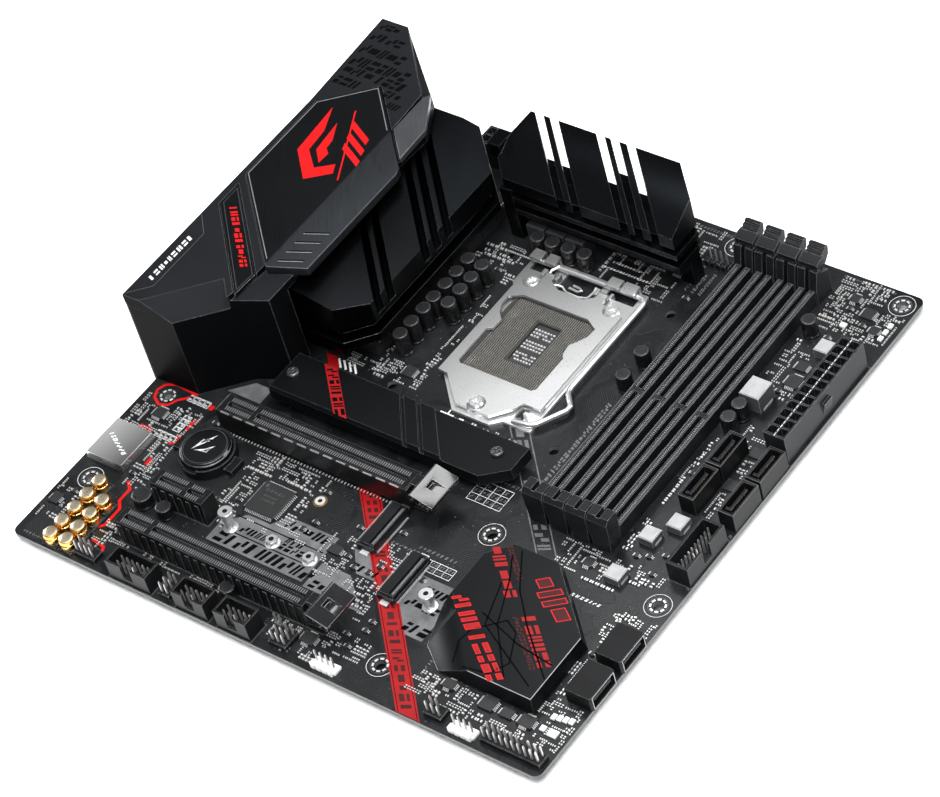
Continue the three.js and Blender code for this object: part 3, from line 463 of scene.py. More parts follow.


# Each worn colour brightens its finish's edges: partly rubbed wear, partly a painted edge highlight.
FINISHES = {
    # Painted highlight: the plate's colour is three times brighter past its fold, on the part that slopes
    # down.
    "brushed_cover": of((0.013, 0.0142, 0.016), 0.32, 0.8, vary=0.18, patch=30, grain=0.5, depth=0.006,
                        worn=(0.26, 0.27, 0.28), edge=0.4, brush=(1, 0.012, 1), turn=-36,
                        fade=((-81.5, 0), (-80.5, 0), 3.0)),
    # Painted shade: darker towards low Y, the ramp running from y 78 to y 40.
    "gunmetal": of((0.0078, 0.0091, 0.0108), 0.28, 0.9, vary=0.12, patch=40, grain=0.25, depth=0.005,
                   worn=(0.24, 0.25, 0.27), edge=0.3, specular=0.22, fade=((-60, 78), (-60, 40), 0.4)),
    "dark_sink": of((0.008, 0.0088, 0.010), 0.34, 0.7, vary=0.14, patch=30, grain=0.22, depth=0.006,
                    worn=(0.20, 0.205, 0.21), edge=0.35, specular=0.36),
    # Painted shade: the cover's upright walls take the darker sides colour.
    "cover_paint": of((0.0115, 0.0125, 0.014), 0.46, vary=0.18, patch=35, grain=0.2,
                      worn=(0.10, 0.105, 0.11), edge=0.5, specular=0.10, ior=1.2,
                      sides=(0.0025, 0.0028, 0.0032)),
    "pale_wing": of((0.16, 0.165, 0.175), 0.34, 0.9, vary=0.10, patch=9, depth=0.005,
                    worn=(0.4, 0.41, 0.43), edge=0.3, brush=(1, 0.03, 1), turn=-36),
    "bright_steel": of((0.80, 0.805, 0.81), 0.28, 0.85, vary=0.04, patch=7, grain=0.6, depth=0.001,
                       swing=0.03),
    # Painted shade: the load plate darkens towards its rear hinge corner.
    "plate_steel": of((0.97, 0.975, 0.98), 0.28, 0.85, vary=0.04, patch=9, grain=0.6, depth=0.0005,
                      fade=((22, 28), (-28, 66), 0.42), swing=0.03),
    # Painted shade: the audio shield darkens steeply towards its front end.
    "shield_steel": of((1.0, 1.0, 1.0), 0.26, 0.85, vary=0.05, patch=9, grain=0.6, depth=0.001,
                       fade=((-118, -60), (-95, -66), 0.07), brush=(0.02, 1, 1), swing=0.05),
    "port_steel": of((0.66, 0.66, 0.67), 0.3, 0.9, vary=0.08, patch=5, depth=0.003),
    "dark_steel": of((0.10, 0.103, 0.108), 0.4, 0.9, vary=0.15, patch=10, grain=0.25,
                     worn=(0.4, 0.4, 0.41)),
    "shield_paint": of((0.012, 0.0125, 0.014), 0.45, 0.3, vary=0.15, patch=18, depth=0.01,
                       worn=(0.3, 0.3, 0.31), edge=0.2),
    "contact_plastic": of((0.022, 0.022, 0.022), 0.5, vary=0.12, patch=6, depth=0.006,
                          worn=(0.10, 0.10, 0.10), edge=0.2),
    "black_plastic": of((0.0055, 0.0058, 0.0064), 0.38, patch=6, grain=0.25, depth=0.006,
                        worn=(0.22, 0.225, 0.23), edge=0.28, specular=0.35, ior=1.3),
    "slate_plastic": of((0.0085, 0.0092, 0.0105), 0.38, vary=0.15, patch=8, grain=0.25, depth=0.006,
                        worn=(0.22, 0.225, 0.23), edge=0.28, specular=0.35, ior=1.3),
    "glossy_plastic": of((0.012, 0.0125, 0.0135), 0.08, 0.3, patch=5, grain=0.8, depth=0.003,
                         worn=(0.5, 0.5, 0.51), edge=0.35, coat=1.0),
    "slot_armour": of((0.055, 0.057, 0.06), 0.30, 0.9, vary=0.14, patch=9, depth=0.005,
                      worn=(0.45, 0.45, 0.46)),
    "battery_can": of((0.006, 0.0063, 0.007), 0.16, 0.2, patch=5, grain=0.4, depth=0.004,
                      worn=(0.35, 0.36, 0.37), edge=0.3, coat=0.5),
    "white_ink": of((0.62, 0.63, 0.63), 0.6, vary=0.15, patch=2),
    "grey_ink": of((0.13, 0.134, 0.14), 0.42, 0.3, vary=0.3, patch=5),
    "dim_ink": of((0.045, 0.047, 0.05), 0.4, vary=0.25, patch=5),
    "black_ink": of((0.0012, 0.0012, 0.0014), 0.8, patch=4, specular=0.05),
    "gloss_ink": of((0.0006, 0.0006, 0.0008), 0.6, vary=0.15, patch=5, grain=0.5, depth=0.003,
                    specular=0.05),
    "red_ink": of((0.25, 0.0022, 0.0035), 0.42, vary=0.14, patch=6, grain=0.4, specular=0.3),
    "red_glow": of((0.46, 0.003, 0.004), 0.40, vary=0.08, patch=8, grain=0.4, specular=0.3),
    "dark_red_ink": of((0.035, 0.001, 0.0013), 0.45, vary=0.25, patch=5, grain=0.4, specular=0.3),
    "solder": of((0.70, 0.705, 0.71), 0.34, 0.6, vary=0.1, patch=1.5, grain=0.2, depth=0.006),
    "pin_metal": of((0.50, 0.50, 0.49), 0.30, 0.8, vary=0.12, patch=2, grain=0.2, depth=0.004),
    "socket_spring": of((0.72, 0.69, 0.62), 0.34, 0.9, vary=0.15, patch=3),
    "rail_light": of((0.07, 0.0735, 0.077), 0.35, vary=0.15, patch=5),
    "dim_metal": of((0.34, 0.34, 0.35), 0.4, 0.7, vary=0.15, patch=3),
    "tick_metal": of((0.20, 0.205, 0.21), 0.4, 0.5, vary=0.15, patch=3),
    "contact_gold": of((0.40, 0.27, 0.10), 0.32, 1.0, vary=0.12, patch=2, grain=0.2, depth=0.004),
    "gold_can": of((0.86, 0.52, 0.16), 0.24, 1.0, vary=0.10, patch=3, depth=0.004),
    "pale_gold": of((0.93, 0.80, 0.58), 0.30, 1.0, vary=0.08, patch=3, depth=0.004),
    "sleeve": of((0.006, 0.0063, 0.007), 0.28, 0.2, patch=4, depth=0.006, worn=(0.14, 0.145, 0.15)),
    "can_top": of((0.028, 0.0285, 0.03), 0.34, 0.6, vary=0.18, patch=3, depth=0.006,
                  worn=(0.3, 0.3, 0.31), edge=0.2),
    # Painted shade: the inductors' upright sides take the darker sides colour.
    "ferrite": of((0.33, 0.335, 0.34), 0.5, 0.1, vary=0.12, patch=3, grain=0.25, depth=0.012,
                  worn=(0.7, 0.7, 0.71), edge=0.35, sides=(0.07, 0.072, 0.076)),
    "dark_ferrite": of((0.022, 0.023, 0.025), 0.5, 0.1, patch=3, grain=0.25, depth=0.02,
                       worn=(0.12, 0.12, 0.13), edge=0.3),
    "chip_black": of((0.009, 0.0093, 0.010), 0.42, patch=3, grain=0.18, depth=0.01,
                     worn=(0.05, 0.05, 0.055), edge=0.2),
    "ceramic": of((0.16, 0.135, 0.11), 0.5, vary=0.3, patch=4, grain=0.2),
    "dark_ceramic": of((0.02, 0.02, 0.022), 0.45, vary=0.3, patch=4, grain=0.2),
    "white_plastic": of((0.80, 0.81, 0.80), 0.42, vary=0.05, patch=3, depth=0.006,
                        worn=(0.95, 0.95, 0.95), edge=0.2),
    "blue_plastic": of((0.02, 0.10, 0.42), 0.4, vary=0.1, patch=3),
    "red_plastic": of((0.45, 0.01, 0.012), 0.4, vary=0.1, patch=3),
    "green_plastic": of((0.03, 0.30, 0.08), 0.4, vary=0.1, patch=3),
    "amber_plastic": of((0.55, 0.26, 0.03), 0.3, vary=0.1, patch=3),
}
SPECIAL_FINISHES = {"laminate": laminate, "pale_floor": pale_floor}
made_looks = {}


def look(name):
    if name not in made_looks:
        if name in SPECIAL_FINISHES:
            made = SPECIAL_FINISHES[name]()
        else:
            values, settings = FINISHES[name]
            made = surface(name, *values, **settings)
        made_looks[name] = made.material
    return made_looks[name]


# ---- CAD nodes: softened edges and a finish each ----
NODE_FINISHES = {
    "laminate": ["circuit_board"],
    "dark_steel": ["socket_backplate", *numbered("drive_heatsink_screw", 1, 2)],
    "contact_plastic": ["socket_contact_carrier"],
    "bright_steel": ["socket_lever", *numbered("socket_screw", 1, 2), "socket_shoulder_screw"],
    "plate_steel": ["socket_frame", "socket_load_plate"],
    "shield_steel": ["audio_shield"],
    "port_steel": ["keyboard_usb_port", *USB_PORTS, "network_port", "radio_module"],
    "slate_plastic": [*MEMORY_SLOTS, *numbered("memory_latch", 1, 2, 3, 4), "main_power_connector",
                      "processor_power_connector", "front_usb_header", *numbered("card_socket", 1, 2)],
    "black_plastic": ["long_slot_1", "short_slot", "long_slot_2", *UPRIGHT_PORTS, *LYING_PORTS,
                      *PIN_HEADERS, "battery_holder", "display_ports", "audio_jacks"],
    "glossy_plastic": ["long_slot_1_latch", "long_slot_2_latch"],
    "slot_armour": ["long_slot_1_shell"],
    "battery_can": ["coin_cell"],
    "gunmetal": ["left_power_heatsink", "top_power_heatsink"],
    "dark_sink": ["drive_heatsink", "chipset_heatsink"],
    "cover_paint": ["port_cover"],
    "brushed_cover": ["cover_plate", "cover_strip"],
    "pale_wing": ["cover_wing"],
    "shield_paint": ["port_shield"],
}
EDGE_WIDTHS = {
    "circuit_board": 0.12, "port_shield": 0.12, "port_cover": 0.5, "left_power_heatsink": 0.3,
    "top_power_heatsink": 0.3, "drive_heatsink": 0.3, "chipset_heatsink": 0.35, "cover_plate": 0.35,
    "cover_wing": 0.3, "audio_shield": 0.3, "socket_load_plate": 0.3, "long_slot_1_shell": 0.15,
}
DEFAULT_EDGE = 0.16


def soften(node, width):
    """Joins a faceted CAD mesh's triangles into faces and rounds its edges, by modifiers only."""
    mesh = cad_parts[node].data
    mesh.shade_smooth()
    if "custom_normal" in mesh.attributes:
        mesh.attributes.remove(mesh.attributes["custom_normal"])
    steps = {
        "WELD": {"merge_threshold": 0.002 * MM},
        "DECIMATE": {"decimate_type": "DISSOLVE", "angle_limit": math.radians(0.4)},
        "BEVEL": {"width": width * MM, "segments": 2, "limit_method": "ANGLE",
                  "angle_limit": math.radians(32), "use_clamp_overlap": True},
        "WEIGHTED_NORMAL": {"mode": "FACE_AREA", "keep_sharp": False},
    }
    for kind, settings in steps.items():
        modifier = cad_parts[node].modifiers.new(kind.lower(), kind)
        for key, value in settings.items():
            setattr(modifier, key, value)


def dress_nodes():
    for finish, nodes in NODE_FINISHES.items():
        for node in nodes:
            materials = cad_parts[node].data.materials
            materials.clear()
            materials.append(look(finish))
            soften(node, EDGE_WIDTHS.get(node, DEFAULT_EDGE))


# ---- the board's prints ----
MOUNT_HOLES = [
    (-111.76, 92.71), (-111.76, -41.91), (-111.76, -87.63), (43.18, 115.57),
    (43.18, -41.91), (43.18, -107.95), (115.57, 115.57), (115.57, -41.91),
]
AUDIO_HOLE = MOUNT_HOLES[1]
PRINT = printed(TOP)
OVERPRINT = (TOP, TOP + 2 * INK)


def slanted(start, end, width):
    """A diagonal stripe from one point to another, cut level at both ends, width along X."""
    (x0, y0), (x1, y1) = start, end
    return [(x0, y0), (x1, y1), (x1 + width, y1), (x0 + width, y0)]


def hole_rings():
    pads = Parts("hole_pads", "solder")
    rings = Parts("hole_rings", "printed_ink")
    for x, y in MOUNT_HOLES[1:]:
        for i in range(8):
            turn = Matrix.Rotation((i + 0.5) * math.pi / 4, 4, "Z")
            pads.matrix = Matrix.Translation((x, y, 0)) @ turn
            pads.box((2.35, 3.15), (-0.72, 0.72), standing(0.14), "solder", 0.06)
        if (x, y) != AUDIO_HOLE:
            rings.annulus(x, y, 4.95, 5.12, PRINT, "white_ink", 48)
            rings.annulus(x, y, 3.55, 3.67, PRINT, "grey_ink", 48)
    pads.build()
    rings.build()


def red_prints():
    """The red stripe across the board, the audio section's divider line and the loop round its hole."""
    red = Parts("red_prints", "red_accent")
    (x0, y0), (x1, y1), width = (-20.5, -40.5), (60.6, -121.6), 10.6
    red.prism(slanted((x0, y0), (x1, y1), width), OVERPRINT, "red_ink")
    for offset in (0.9, width - 1.2):
        line = slanted((x0 + offset, y0 - 0.1), (x1 + offset, y1 + 0.1), 0.3)
        red.prism(line, (TOP, TOP + 3 * INK), "black_ink")
    red.marks((x0 + 3.6, y0 - 0.9), -45, 110, 3.7, TOP + 2 * INK, "dark_red_ink", 4, 0.45)
    red.prism([(-69, 3), (-63.6, 3), (-59, -1.8), (-64.4, -1.8)], PRINT, "red_ink")
    lasso = [(-112.2, -35.4), (-116.9, -37.6), (-118.2, -41.4), (-116.6, -45.2), (-112.4, -47.6),
             (-108.2, -46.2), (-106.4, -42.6), (-101.4, -38.0), (-101.0, -36.2)]
    red.border(lasso, 1.1, PRINT, "red_glow")
    divider = [
        [(-93.6, -46.6), (-93.6, -52.6)],
        [(-93.6, -55.0), (-93.6, -59.4), (-95.4, -61.0)],
        [(-111.8, -58.4), (-105.4, -58.4)],
        [(-97.4, -82.4), (-94.0, -85.4), (-94.0, -91.4), (-91.2, -94.6), (-91.2, -103.4), (-94.6, -106.4)],
        [(-90.8, -110.6), (-84.6, -111.6), (-83.2, -114.2)],
    ]
    for path in divider:
        red.stroke(path, 1.25, PRINT, "red_glow")
    for x, y, *size in ((-77.4, -113.9, 3.4, 1.9), (-96.6, -71.4, 1.6, 3.6), (-91.9, -39.4, 2.0, 2.4)):
        red.block(x, y, size, PRINT, "red_glow")
    red.build()


def grey_prints():
    """The pale stripe beside the socket, and the printed panels round the small card sockets."""
    grey = Parts("grey_prints", "printed_ink")
    (x0, y0), (x1, y1) = (12.2, 8.6), (62.6, -41.8)
    for offset in (0.0, 9.2):
        grey.prism(slanted((x0 + offset, y0), (x1 + offset, y1), 0.7), PRINT, "grey_ink")
    for start, length in ((2, 17), (34, 15), (56, 13)):
        corner = (x0 + 2.0 + start * DIAGONAL, y0 - 0.6 - start * DIAGONAL)
        grey.marks(corner, -45, length, 4.6, TOP, "grey_ink", start + 3, 0.35)
    panels = [
        [(-52, -82.6), (-44.5, -74.8), (-34, -74.8), (-30, -68.6), (-6.4, -68.6), (-6.4, -91), (-52, -91)],
        [(-4.8, -80.4), (8.2, -80.4), (22.6, -92.6), (-4.8, -92.6)],
        [(1.6, -69.6), (13.4, -69.6), (22.4, -78.8), (9.4, -78.8)],
        [(31.4, -68.4), (50, -68.4), (50, -93), (38.4, -93), (31.4, -86.2)],
        [(-92, -29.6), (-84, -21.6), (-76, -21.6), (-76, -29.6)],
    ]
    for outline in panels:
        grey.prism(outline, PRINT, "grey_ink")
    overprints = [
        ((-29, -73.6), 20, 4.0), ((-24, -79.2), 8, 3.0), ((-50, -90.0), 42, 5.0), ((-43, -82.6), 32, 3.0),
        ((-3.4, -91.6), 20, 3.6), ((36, -75.0), 12, 3.4), ((33.4, -82.0), 14, 3.4), ((39.4, -91.6), 9, 4.0),
        ((5, -77.8), 12, 3.0),
    ]
    for i, (start, length, height) in enumerate(overprints):
        grey.marks(start, 0, length, height, TOP + INK, "black_ink", 21 + i)
    for y in (-77.0, -84.2):
        grey.box((-48, -7.4), (y, y + 0.5), OVERPRINT, "black_ink")
    grey.build()


def table_grid(parts, xs, ys, columns, rows):
    """A small ruled table with a block of print in most cells."""
    for x in spread(*xs, columns + 1):
        parts.box(about(x, 0.1), ys, PRINT, "white_ink")
    for y in spread(*ys, rows + 1):
        parts.box((xs[0] - 0.1, xs[1] + 0.1), about(y, 0.1), PRINT, "white_ink")
    width, height = (xs[1] - xs[0]) / columns, (ys[1] - ys[0]) / rows
    for column in range(columns):
        for row in range(rows):
            start = (xs[0] + column * width + 0.6, ys[0] + row * height + height * 0.3)
            parts.marks(start, 0, width - 1.8, height * 0.42, TOP, "grey_ink", column * 7 + row)


def white_prints():
    """Designators, tables and outlines in white ink, all as abstract marks."""
    white = Parts("white_prints", "printed_ink")
    rows = [
        ((46.4, -19), 90, 48, 2.0), ((106.6, -4), -90, 20, 1.2), ((121.3, -31.6), 90, 27, 1.3),
        ((83, -51.8), 0, 15, 1.2), ((22, 118.6), 0, 16, 1.1), ((24, 116.4), 0, 10, 1.1),
        ((38, 88), 90, 15, 1.1), ((41.4, 88), 90, 9, 1.4), ((44.4, 88), 90, 12, 1.4), ((2, 92), 0, 20, 1.0),
        ((4, 88.6), 0, 14, 0.9), ((1, 85.2), 0, 22, 0.9), ((14, 95.2), 0, 12, 0.9),
        ((12, -61.6), 0, 16, 1.3), ((23, -59.0), 0, 17, 1.3), ((22, -20.6), 0, 18, 1.2),
        ((88, 119.4), 0, 22, 0.8),
        ((2, -68.0), 0, 6, 1.8), ((-60, -100.2), 0, 12, 0.9), ((-118, -119.6), 0, 14, 0.9),
        ((58, -96.2), -90, 8, 1.0), ((72, -98.2), 0, 10, 1.0),
    ]
    bright_rows = (1, 3, 10, 11, 17)
    for i, (start, angle, length, height) in enumerate(rows):
        ink = "white_ink" if i in bright_rows else "grey_ink"
        white.marks(start, angle, length, height, TOP, ink, 100 + i)
    table_grid(white, (24, 39), (-32, -22.4), 4, 3)
    table_grid(white, (24, 42), (-66.4, -61.4), 5, 2)
    for x in (-62.6, -60.1, -57.6, -55.1):
        white.stroke([(x, 2.6), (x + 3.6, -1.0)], 0.8, OVERPRINT, "white_ink")
    for xs, ys in (((-10.4, -4.2), (-2.4, -1.7)), ((-1.6, 0.4), (-2.4, -1.7)), ((-7.4, -6.8), (-1.7, 0.2))):
        white.box(xs, ys, PRINT, "white_ink")
    for node in (*PIN_HEADERS, "front_usb_header", "short_slot", "long_slot_2", "main_power_connector"):
        (x0, x1), (y0, y1), _ = span(node)
        right, back = (min(edge + 0.6, BOARD_EDGE) for edge in (x1, y1))
        white.border(rectangle((x0 - 0.6, right), (y0 - 0.6, back)), 0.18, PRINT, "grey_ink")
    white.build()


# ---- round parts on the board ----
def polymer_can(parts, x, y, top, radius=3.15):
    """A black capacitor with a crimped foot and a grey top plate."""
    profile = [
        (radius, TOP - SINK), (radius, TOP + 1.0), (radius - 0.25, TOP + 1.3), (radius, TOP + 1.6),
        (radius, top - 0.5), (radius - 0.15, top - 0.12), (radius - 0.4, top),
    ]
    parts.turned(x, y, profile, "sleeve", 28)
    parts.turned(x, y, [(radius - 0.55, top - SINK), (radius - 0.6, top + 0.06)], "can_top", 28)
    parts.prism(arc(x, y, radius - 0.75, 200, 290, 8), (top, top + 0.09), "sleeve")


def capacitors():
    power = Parts("power_capacitors", "capacitor_sleeve")
    for x, ys in ((-41, (59.5, 52, 45, 37.5, 31, 23.5, 16.5)), (-34, (59, 52, 45, 37.5))):
        for y in ys:
            polymer_can(power, x, y, 12)
    for x in (-25, -18, -10.5, -3):
        polymer_can(power, x, 82, 9.6)
    power.build()
    board = Parts("board_capacitors", "capacitor_sleeve")
    for x, y in ((46, 50), (46.5, 37.4), (93.2, 44), (93.2, 37), (93.2, 89.5)):
        polymer_can(board, x, y, 9.8, 3.1)
    for x, y, radius in ((-83.9, -88.2, 4), (-72.4, -89.2, 3.2), (-25.9, -108.2, 3.2)):
        polymer_can(board, x, y, 7, radius)
    board.build()


def audio_capacitors():
    """Nine gold cans on black square bases, each with a pale domed top and a groove below it."""
    cans = Parts("audio_capacitors", "gold_can")
    can = [(2.95, 2.4), (3.1, 2.8), (3.1, 4.9), (2.85, 5.15), (2.85, 5.4), (3.15, 5.7), (3.15, 6.5),
           (2.9, 7.0)]
    dome = [(2.65, 6.95), (2.6, 7.15), (2.1, 7.3), (1.2, 7.36)]
    for x, ys in ((-103.6, (-90, -97.2, -104.3, -111.4, -118)), (-96, (-97, -104, -111, -117.6))):
        for y in ys:
            cans.block(x, y, (6.6, 6.4), (TOP - SINK, 2.5), "black_plastic", 0.3)
            cans.turned(x, y, can, "gold_can", 30)
            cans.turned(x, y, dome, "pale_gold", 30)
    cans.build()


# ---- square parts on the board ----
def inductors():
    pale = Parts("pale_inductors", "ferrite_grey")
    sizes = [
        (94.2, 53, 8.4, 9.4, 9.6), (103.5, 83.2, 6.0, 6.2, 6.4), (102.2, -9.2, 6.4, 6.4, 5.4),
        (96.2, -18.2, 6.4, 6.4, 5.4), (95.5, -38.2, 6.6, 6.4, 5.4),
    ]
    for x, y, width, depth, top in sizes:
        pale.block(x, y, (width, depth), (TOP + 0.3, top), "ferrite", 0.45)
        for side in (-1, 1):
            pale.block(x + side * width * 0.46, y, (width * 0.12, depth * 0.6), standing(0.9), "solder")
    pale.build()
    chokes = Parts("power_chokes", "ferrite_grey")
    for i in range(9):
        y = 15 + 9.6 * i
        chokes.block(-53.6, y, (8.6, 8.8), (TOP - SINK, 9), "dark_ferrite", 0.5)
        chokes.block(-48.4, y, (0.5, 6.4), (8.0, 9.3), "ferrite")
    for x in (-29.4, -20.2, -11):
        chokes.block(x, 89.2, (8.4, 6.6), (TOP - SINK, 9), "dark_ferrite", 0.5)
    chokes.build()


def chip(parts, x, y, size, height, legs=0, leg_sides="xy"):
    """A moulded package with a bevelled top, a dot on one corner and rows of bent legs."""
    foot, top = TOP + (0.15 if legs else -SINK), TOP + height
    parts.block(x, y, size, (foot, top), "chip_black", min(0.18, height * 0.3))
    dot = size[0] * 0.05
    profile = [(dot, top - SINK), (dot, top + 0.01)]
    parts.turned(x - size[0] * 0.36, y + size[1] * 0.36, profile, "dim_ink", 12)
    pitch = min(0.8 if legs > 12 else 0.65, 0.92 * max(size) / max(legs, 1))
    for i in range(legs):
        offset = (i - (legs - 1) / 2) * pitch
        for side in (-1, 1):
            if "y" in leg_sides:
                leg(parts, x + offset, y + side * size[1] / 2, side, False)
            if "x" in leg_sides:
                leg(parts, x + side * size[0] / 2, y + offset, side, True)


def leg(parts, x, y, side, along_x):
    """One gull-wing leg: a shoulder by the body, a drop and a flat foot on the board."""
    shoulder = TOP + 0.65
    for near, far, zs in ((-0.05, 0.35, (TOP + 0.45, shoulder)), (0.3, 0.5, (TOP, shoulder)),
                          (0.45, 0.95, standing(0.15))):
        if along_x:
            parts.box(beside(x, side, near, far), about(y, 0.14), zs, "solder")
        else:
            parts.box(about(x, 0.14), beside(y, side, near, far), zs, "solder")


def chips():
    parts = Parts("control_chips", "black_plastic")
    chip(parts, -41, -66, (14, 14), 1.3, 16)
    lines = [((-45.2, -63.2), 7.5, 1.2), ((-44.4, -65.6), 5.5, 0.9), ((-44.4, -67.6), 6.5, 0.9)]
    for i, (corner, length, height) in enumerate(lines):
        parts.marks(corner, 0, length, height, TOP + 1.3, "dim_ink", 61 + i)
    layout = [
        (100.6, 66.5, 6, 6, 1.0, 6), (99.2, 74, 4.6, 4.6, 0.9, 5), (107.8, 14.8, 5, 5, 0.9, 0),
        (108.2, 31.4, 5.4, 4.6, 1.0, 0), (-108.4, -50.4, 5, 5, 0.9, 6), (-4, -73.6, 5.4, 4, 1, 4),
        (13, -110.4, 6, 5, 1.1, 5), (88, -104, 6, 6, 1, 6), (104.6, -104.2, 6.0, 5, 1, 5),
        (96.4, -104.6, 5, 4, 1, 4), (70.8, -103.6, 5, 4, 1, 4), (107, 106.6, 5, 5, 0.9, 6),
        (98.4, 111.2, 4, 4, 0.9, 4), (-33, 8.6, 5, 5, 0.9, 6), (82.6, -36.8, 4, 4, 0.9, 4),
        (-117, -101.6, 4.2, 5, 1, 4), (30.6, 96, 7, 5, 1, 6), (112, -57.6, 4, 5, 1, 4),
        (-22, -100.4, 5, 4, 1, 4), (-60.4, -101.4, 4, 4, 1, 4), (113.4, 100.2, 4, 4, 0.9, 4),
    ]
    for i, (x, y, width, depth, height, legs) in enumerate(layout):
        chip(parts, x, y, (width, depth), height, legs, "x" if i % 2 else "xy")
        reserve(x, y, width + 2.4, depth + 2.4)
    parts.build()


# ---- small parts scattered in rows ----
reserved = []


def reserve(x, y, width, depth):
    reserved.append((*about(x, width / 2), *about(y, depth / 2)))


def is_free(x, y, width, depth):
    (x0, x1), (y0, y1) = about(x, width / 2), about(y, depth / 2)
    if abs(x) + width / 2 > BOARD_EDGE - 0.8 or abs(y) + depth / 2 > BOARD_EDGE - 0.8:
        return False
    return not any(x1 > a and x0 < b and y1 > c and y0 < d for a, b, c, d in reserved)


def two_ended(parts, x, y, length, width, height, finish, upright):
    """A chip resistor or capacitor: a body between two soldered ends."""
    parts.block(x, y, (length * 0.9, width * 0.86), (TOP, TOP + height * 0.9), finish, 0.0, upright)
    for side in (-1, 1):
        shift = side * length * 0.39
        dx, dy = (0, shift) if upright else (shift, 0)
        parts.block(x + dx, y + dy, (length * 0.32, width), standing(height), "solder", 0.0, upright)


def scatter(name, regions, seed):
    """Rows of small soldered parts in each (x0, x1, y0, y1, rows) region, clear of everything else."""
    chance = random.Random(seed)
    parts = Parts(name, "solder")
    for x0, x1, y0, y1, rows in regions:
        for _ in range(rows):
            upright = chance.random() < 0.5
            along_x = chance.random() < 0.5
            big = chance.random() < 0.3
            length, width, height = (1.8, 1.0, 0.6) if big else (1.15, 0.65, 0.4)
            finish = chance.choice(("ceramic", "dark_ceramic", "dark_ceramic", "dark_ceramic"))
            x = chance.uniform(x0, x1)
            y = chance.uniform(y0, y1)
            size_x, size_y = (width, length) if upright else (length, width)
            step = (size_x if along_x else size_y) + 0.55
            for _ in range(chance.randint(2, 7)):
                if x0 <= x <= x1 and y0 <= y <= y1 and is_free(x, y, size_x + 0.3, size_y + 0.3):
                    two_ended(parts, x, y, length, width, height, finish, upright)
                    reserve(x, y, size_x + 0.2, size_y + 0.2)
                x += step if along_x else 0
                y += 0 if along_x else step
            if chance.random() < 0.3 and is_free(x, y + 2, 3.4, 3.0):
                chip(parts, x, y + 2, (1.5, 2.4), 0.9, 2, "x")
                reserve(x, y + 2, 3.6, 3.2)
    parts.build()


def reserve_everything():
    """Keeps the scattered parts off the CAD nodes that stand on the board and off the larger parts."""
    raised = ("circuit_board", "port_cover", "left_power_heatsink", "top_power_heatsink", "drive_heatsink",
              "chipset_heatsink")
    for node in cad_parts:
        (x0, x1), (y0, y1), (z0, _) = span(node)
        if node not in raised and z0 < TOP + 2.2:
            reserve((x0 + x1) / 2, (y0 + y1) / 2, x1 - x0 + 0.8, y1 - y0 + 0.8)
    for x, y in MOUNT_HOLES:
        reserve(x, y, 11.6, 11.6)
    solids = [
        (75.5, -73, 57, 57), (-103.4, 42, 40, 160), (-76, 50, 30, 98), (-53.5, 54, 9.6, 92),
        (0, 104, 62, 14), (-20, 89, 30, 8), (-14, 82, 30, 7), (-37.5, 38, 15, 52), (-65.5, -18, 6, 6),
        (28.5, -15.5, 6, 6), (-46.5, -82.6, 6, 6), (43.2, -78.8, 6, 6), (-27.5, -81.4, 6, 6),
        (-9.7, -81.7, 6, 6), (-24, -57.6, 6, 6), (-99.8, -104, 16, 36), (-41, -66, 17.6, 17.6),
        (94.2, 53, 10, 11), (103.5, 83.2, 8, 8), (102.2, -9.2, 8, 8), (96.2, -18.2, 8, 8),
        (95.5, -38.2, 8, 8), (93.2, 40.5, 7, 15), (93.2, 89.5, 7, 7), (46.2, 44, 8, 22),
        (-83.9, -88.2, 9, 9), (-72.4, -89.2, 7.4, 7.4), (-25.9, -108.2, 7.4, 7.4),
        (107, -115.2, 27, 7), (87.6, -117.6, 11, 6), (28.6, -117.6, 12, 6), (42.2, 105.6, 12, 7),
    ]
    for spot in solids:
        reserve(*spot)


SMALL_PARTS = {
    "top_corner": [(89, 121, 93, 121, 190), (86.5, 92, 62, 96, 26)],
    "power_side": [(93, 110, 56, 80, 44), (98, 111, -2, 42, 56), (86.8, 91.5, -26, 60, 70),
                   (104, 112, -3, -30, 14)],
    "socket": [(-60, -25, 2, 16, 92), (-32, -25, 14, 54, 34), (-50, -24, 60, 80, 30), (2, 34, 78, 98, 40),
               (20, 47, 101, 120, 24), (-20, 20, -8, 0, 8)],
    "memory": [(68, 98, -44, -31, 46), (98, 112, -40, -30, 10)],
    "audio": [(-120, -92, -60, -44, 84), (-101, -90, -84, -58, 54), (-120, -108, -112, -92, 34),
              (-96, -86, -118, -100, 22)],
    "slots": [(-62, -30, -58, -48, 48), (-33, -26, -76, -48, 30), (-62, -49, -84, -56, 40),
              (-60, -10, -79, -70, 14), (-10, 4, -86, -66, 34), (8, 24, -96, -80, 30),
              (-85, -30, -109, -103, 46), (10, 24, -74, -62, 12)],
    "lower_edge": [(-4, 22, -119, -103, 44), (56, 108, -113, -101, 74), (104, 121, -112, -92, 50),
                   (100, 121, -64, -50, 36), (103, 110, -92, -64, 26), (20, 36, -112, -102, 18)],
}


def small_parts():
    for i, (place, regions) in enumerate(SMALL_PARTS.items()):
        scatter("small_parts_" + place, regions, 11 + i)


# ---- headers, pins and contacts ----
def pin_grid(parts, xs, ys, columns, rows, zs, missing=None):
    for i, x in enumerate(spread(*xs, columns)):
        for j, y in enumerate(spread(*ys, rows)):
            if (i, j) != missing:
                parts.pin(x, y, zs)


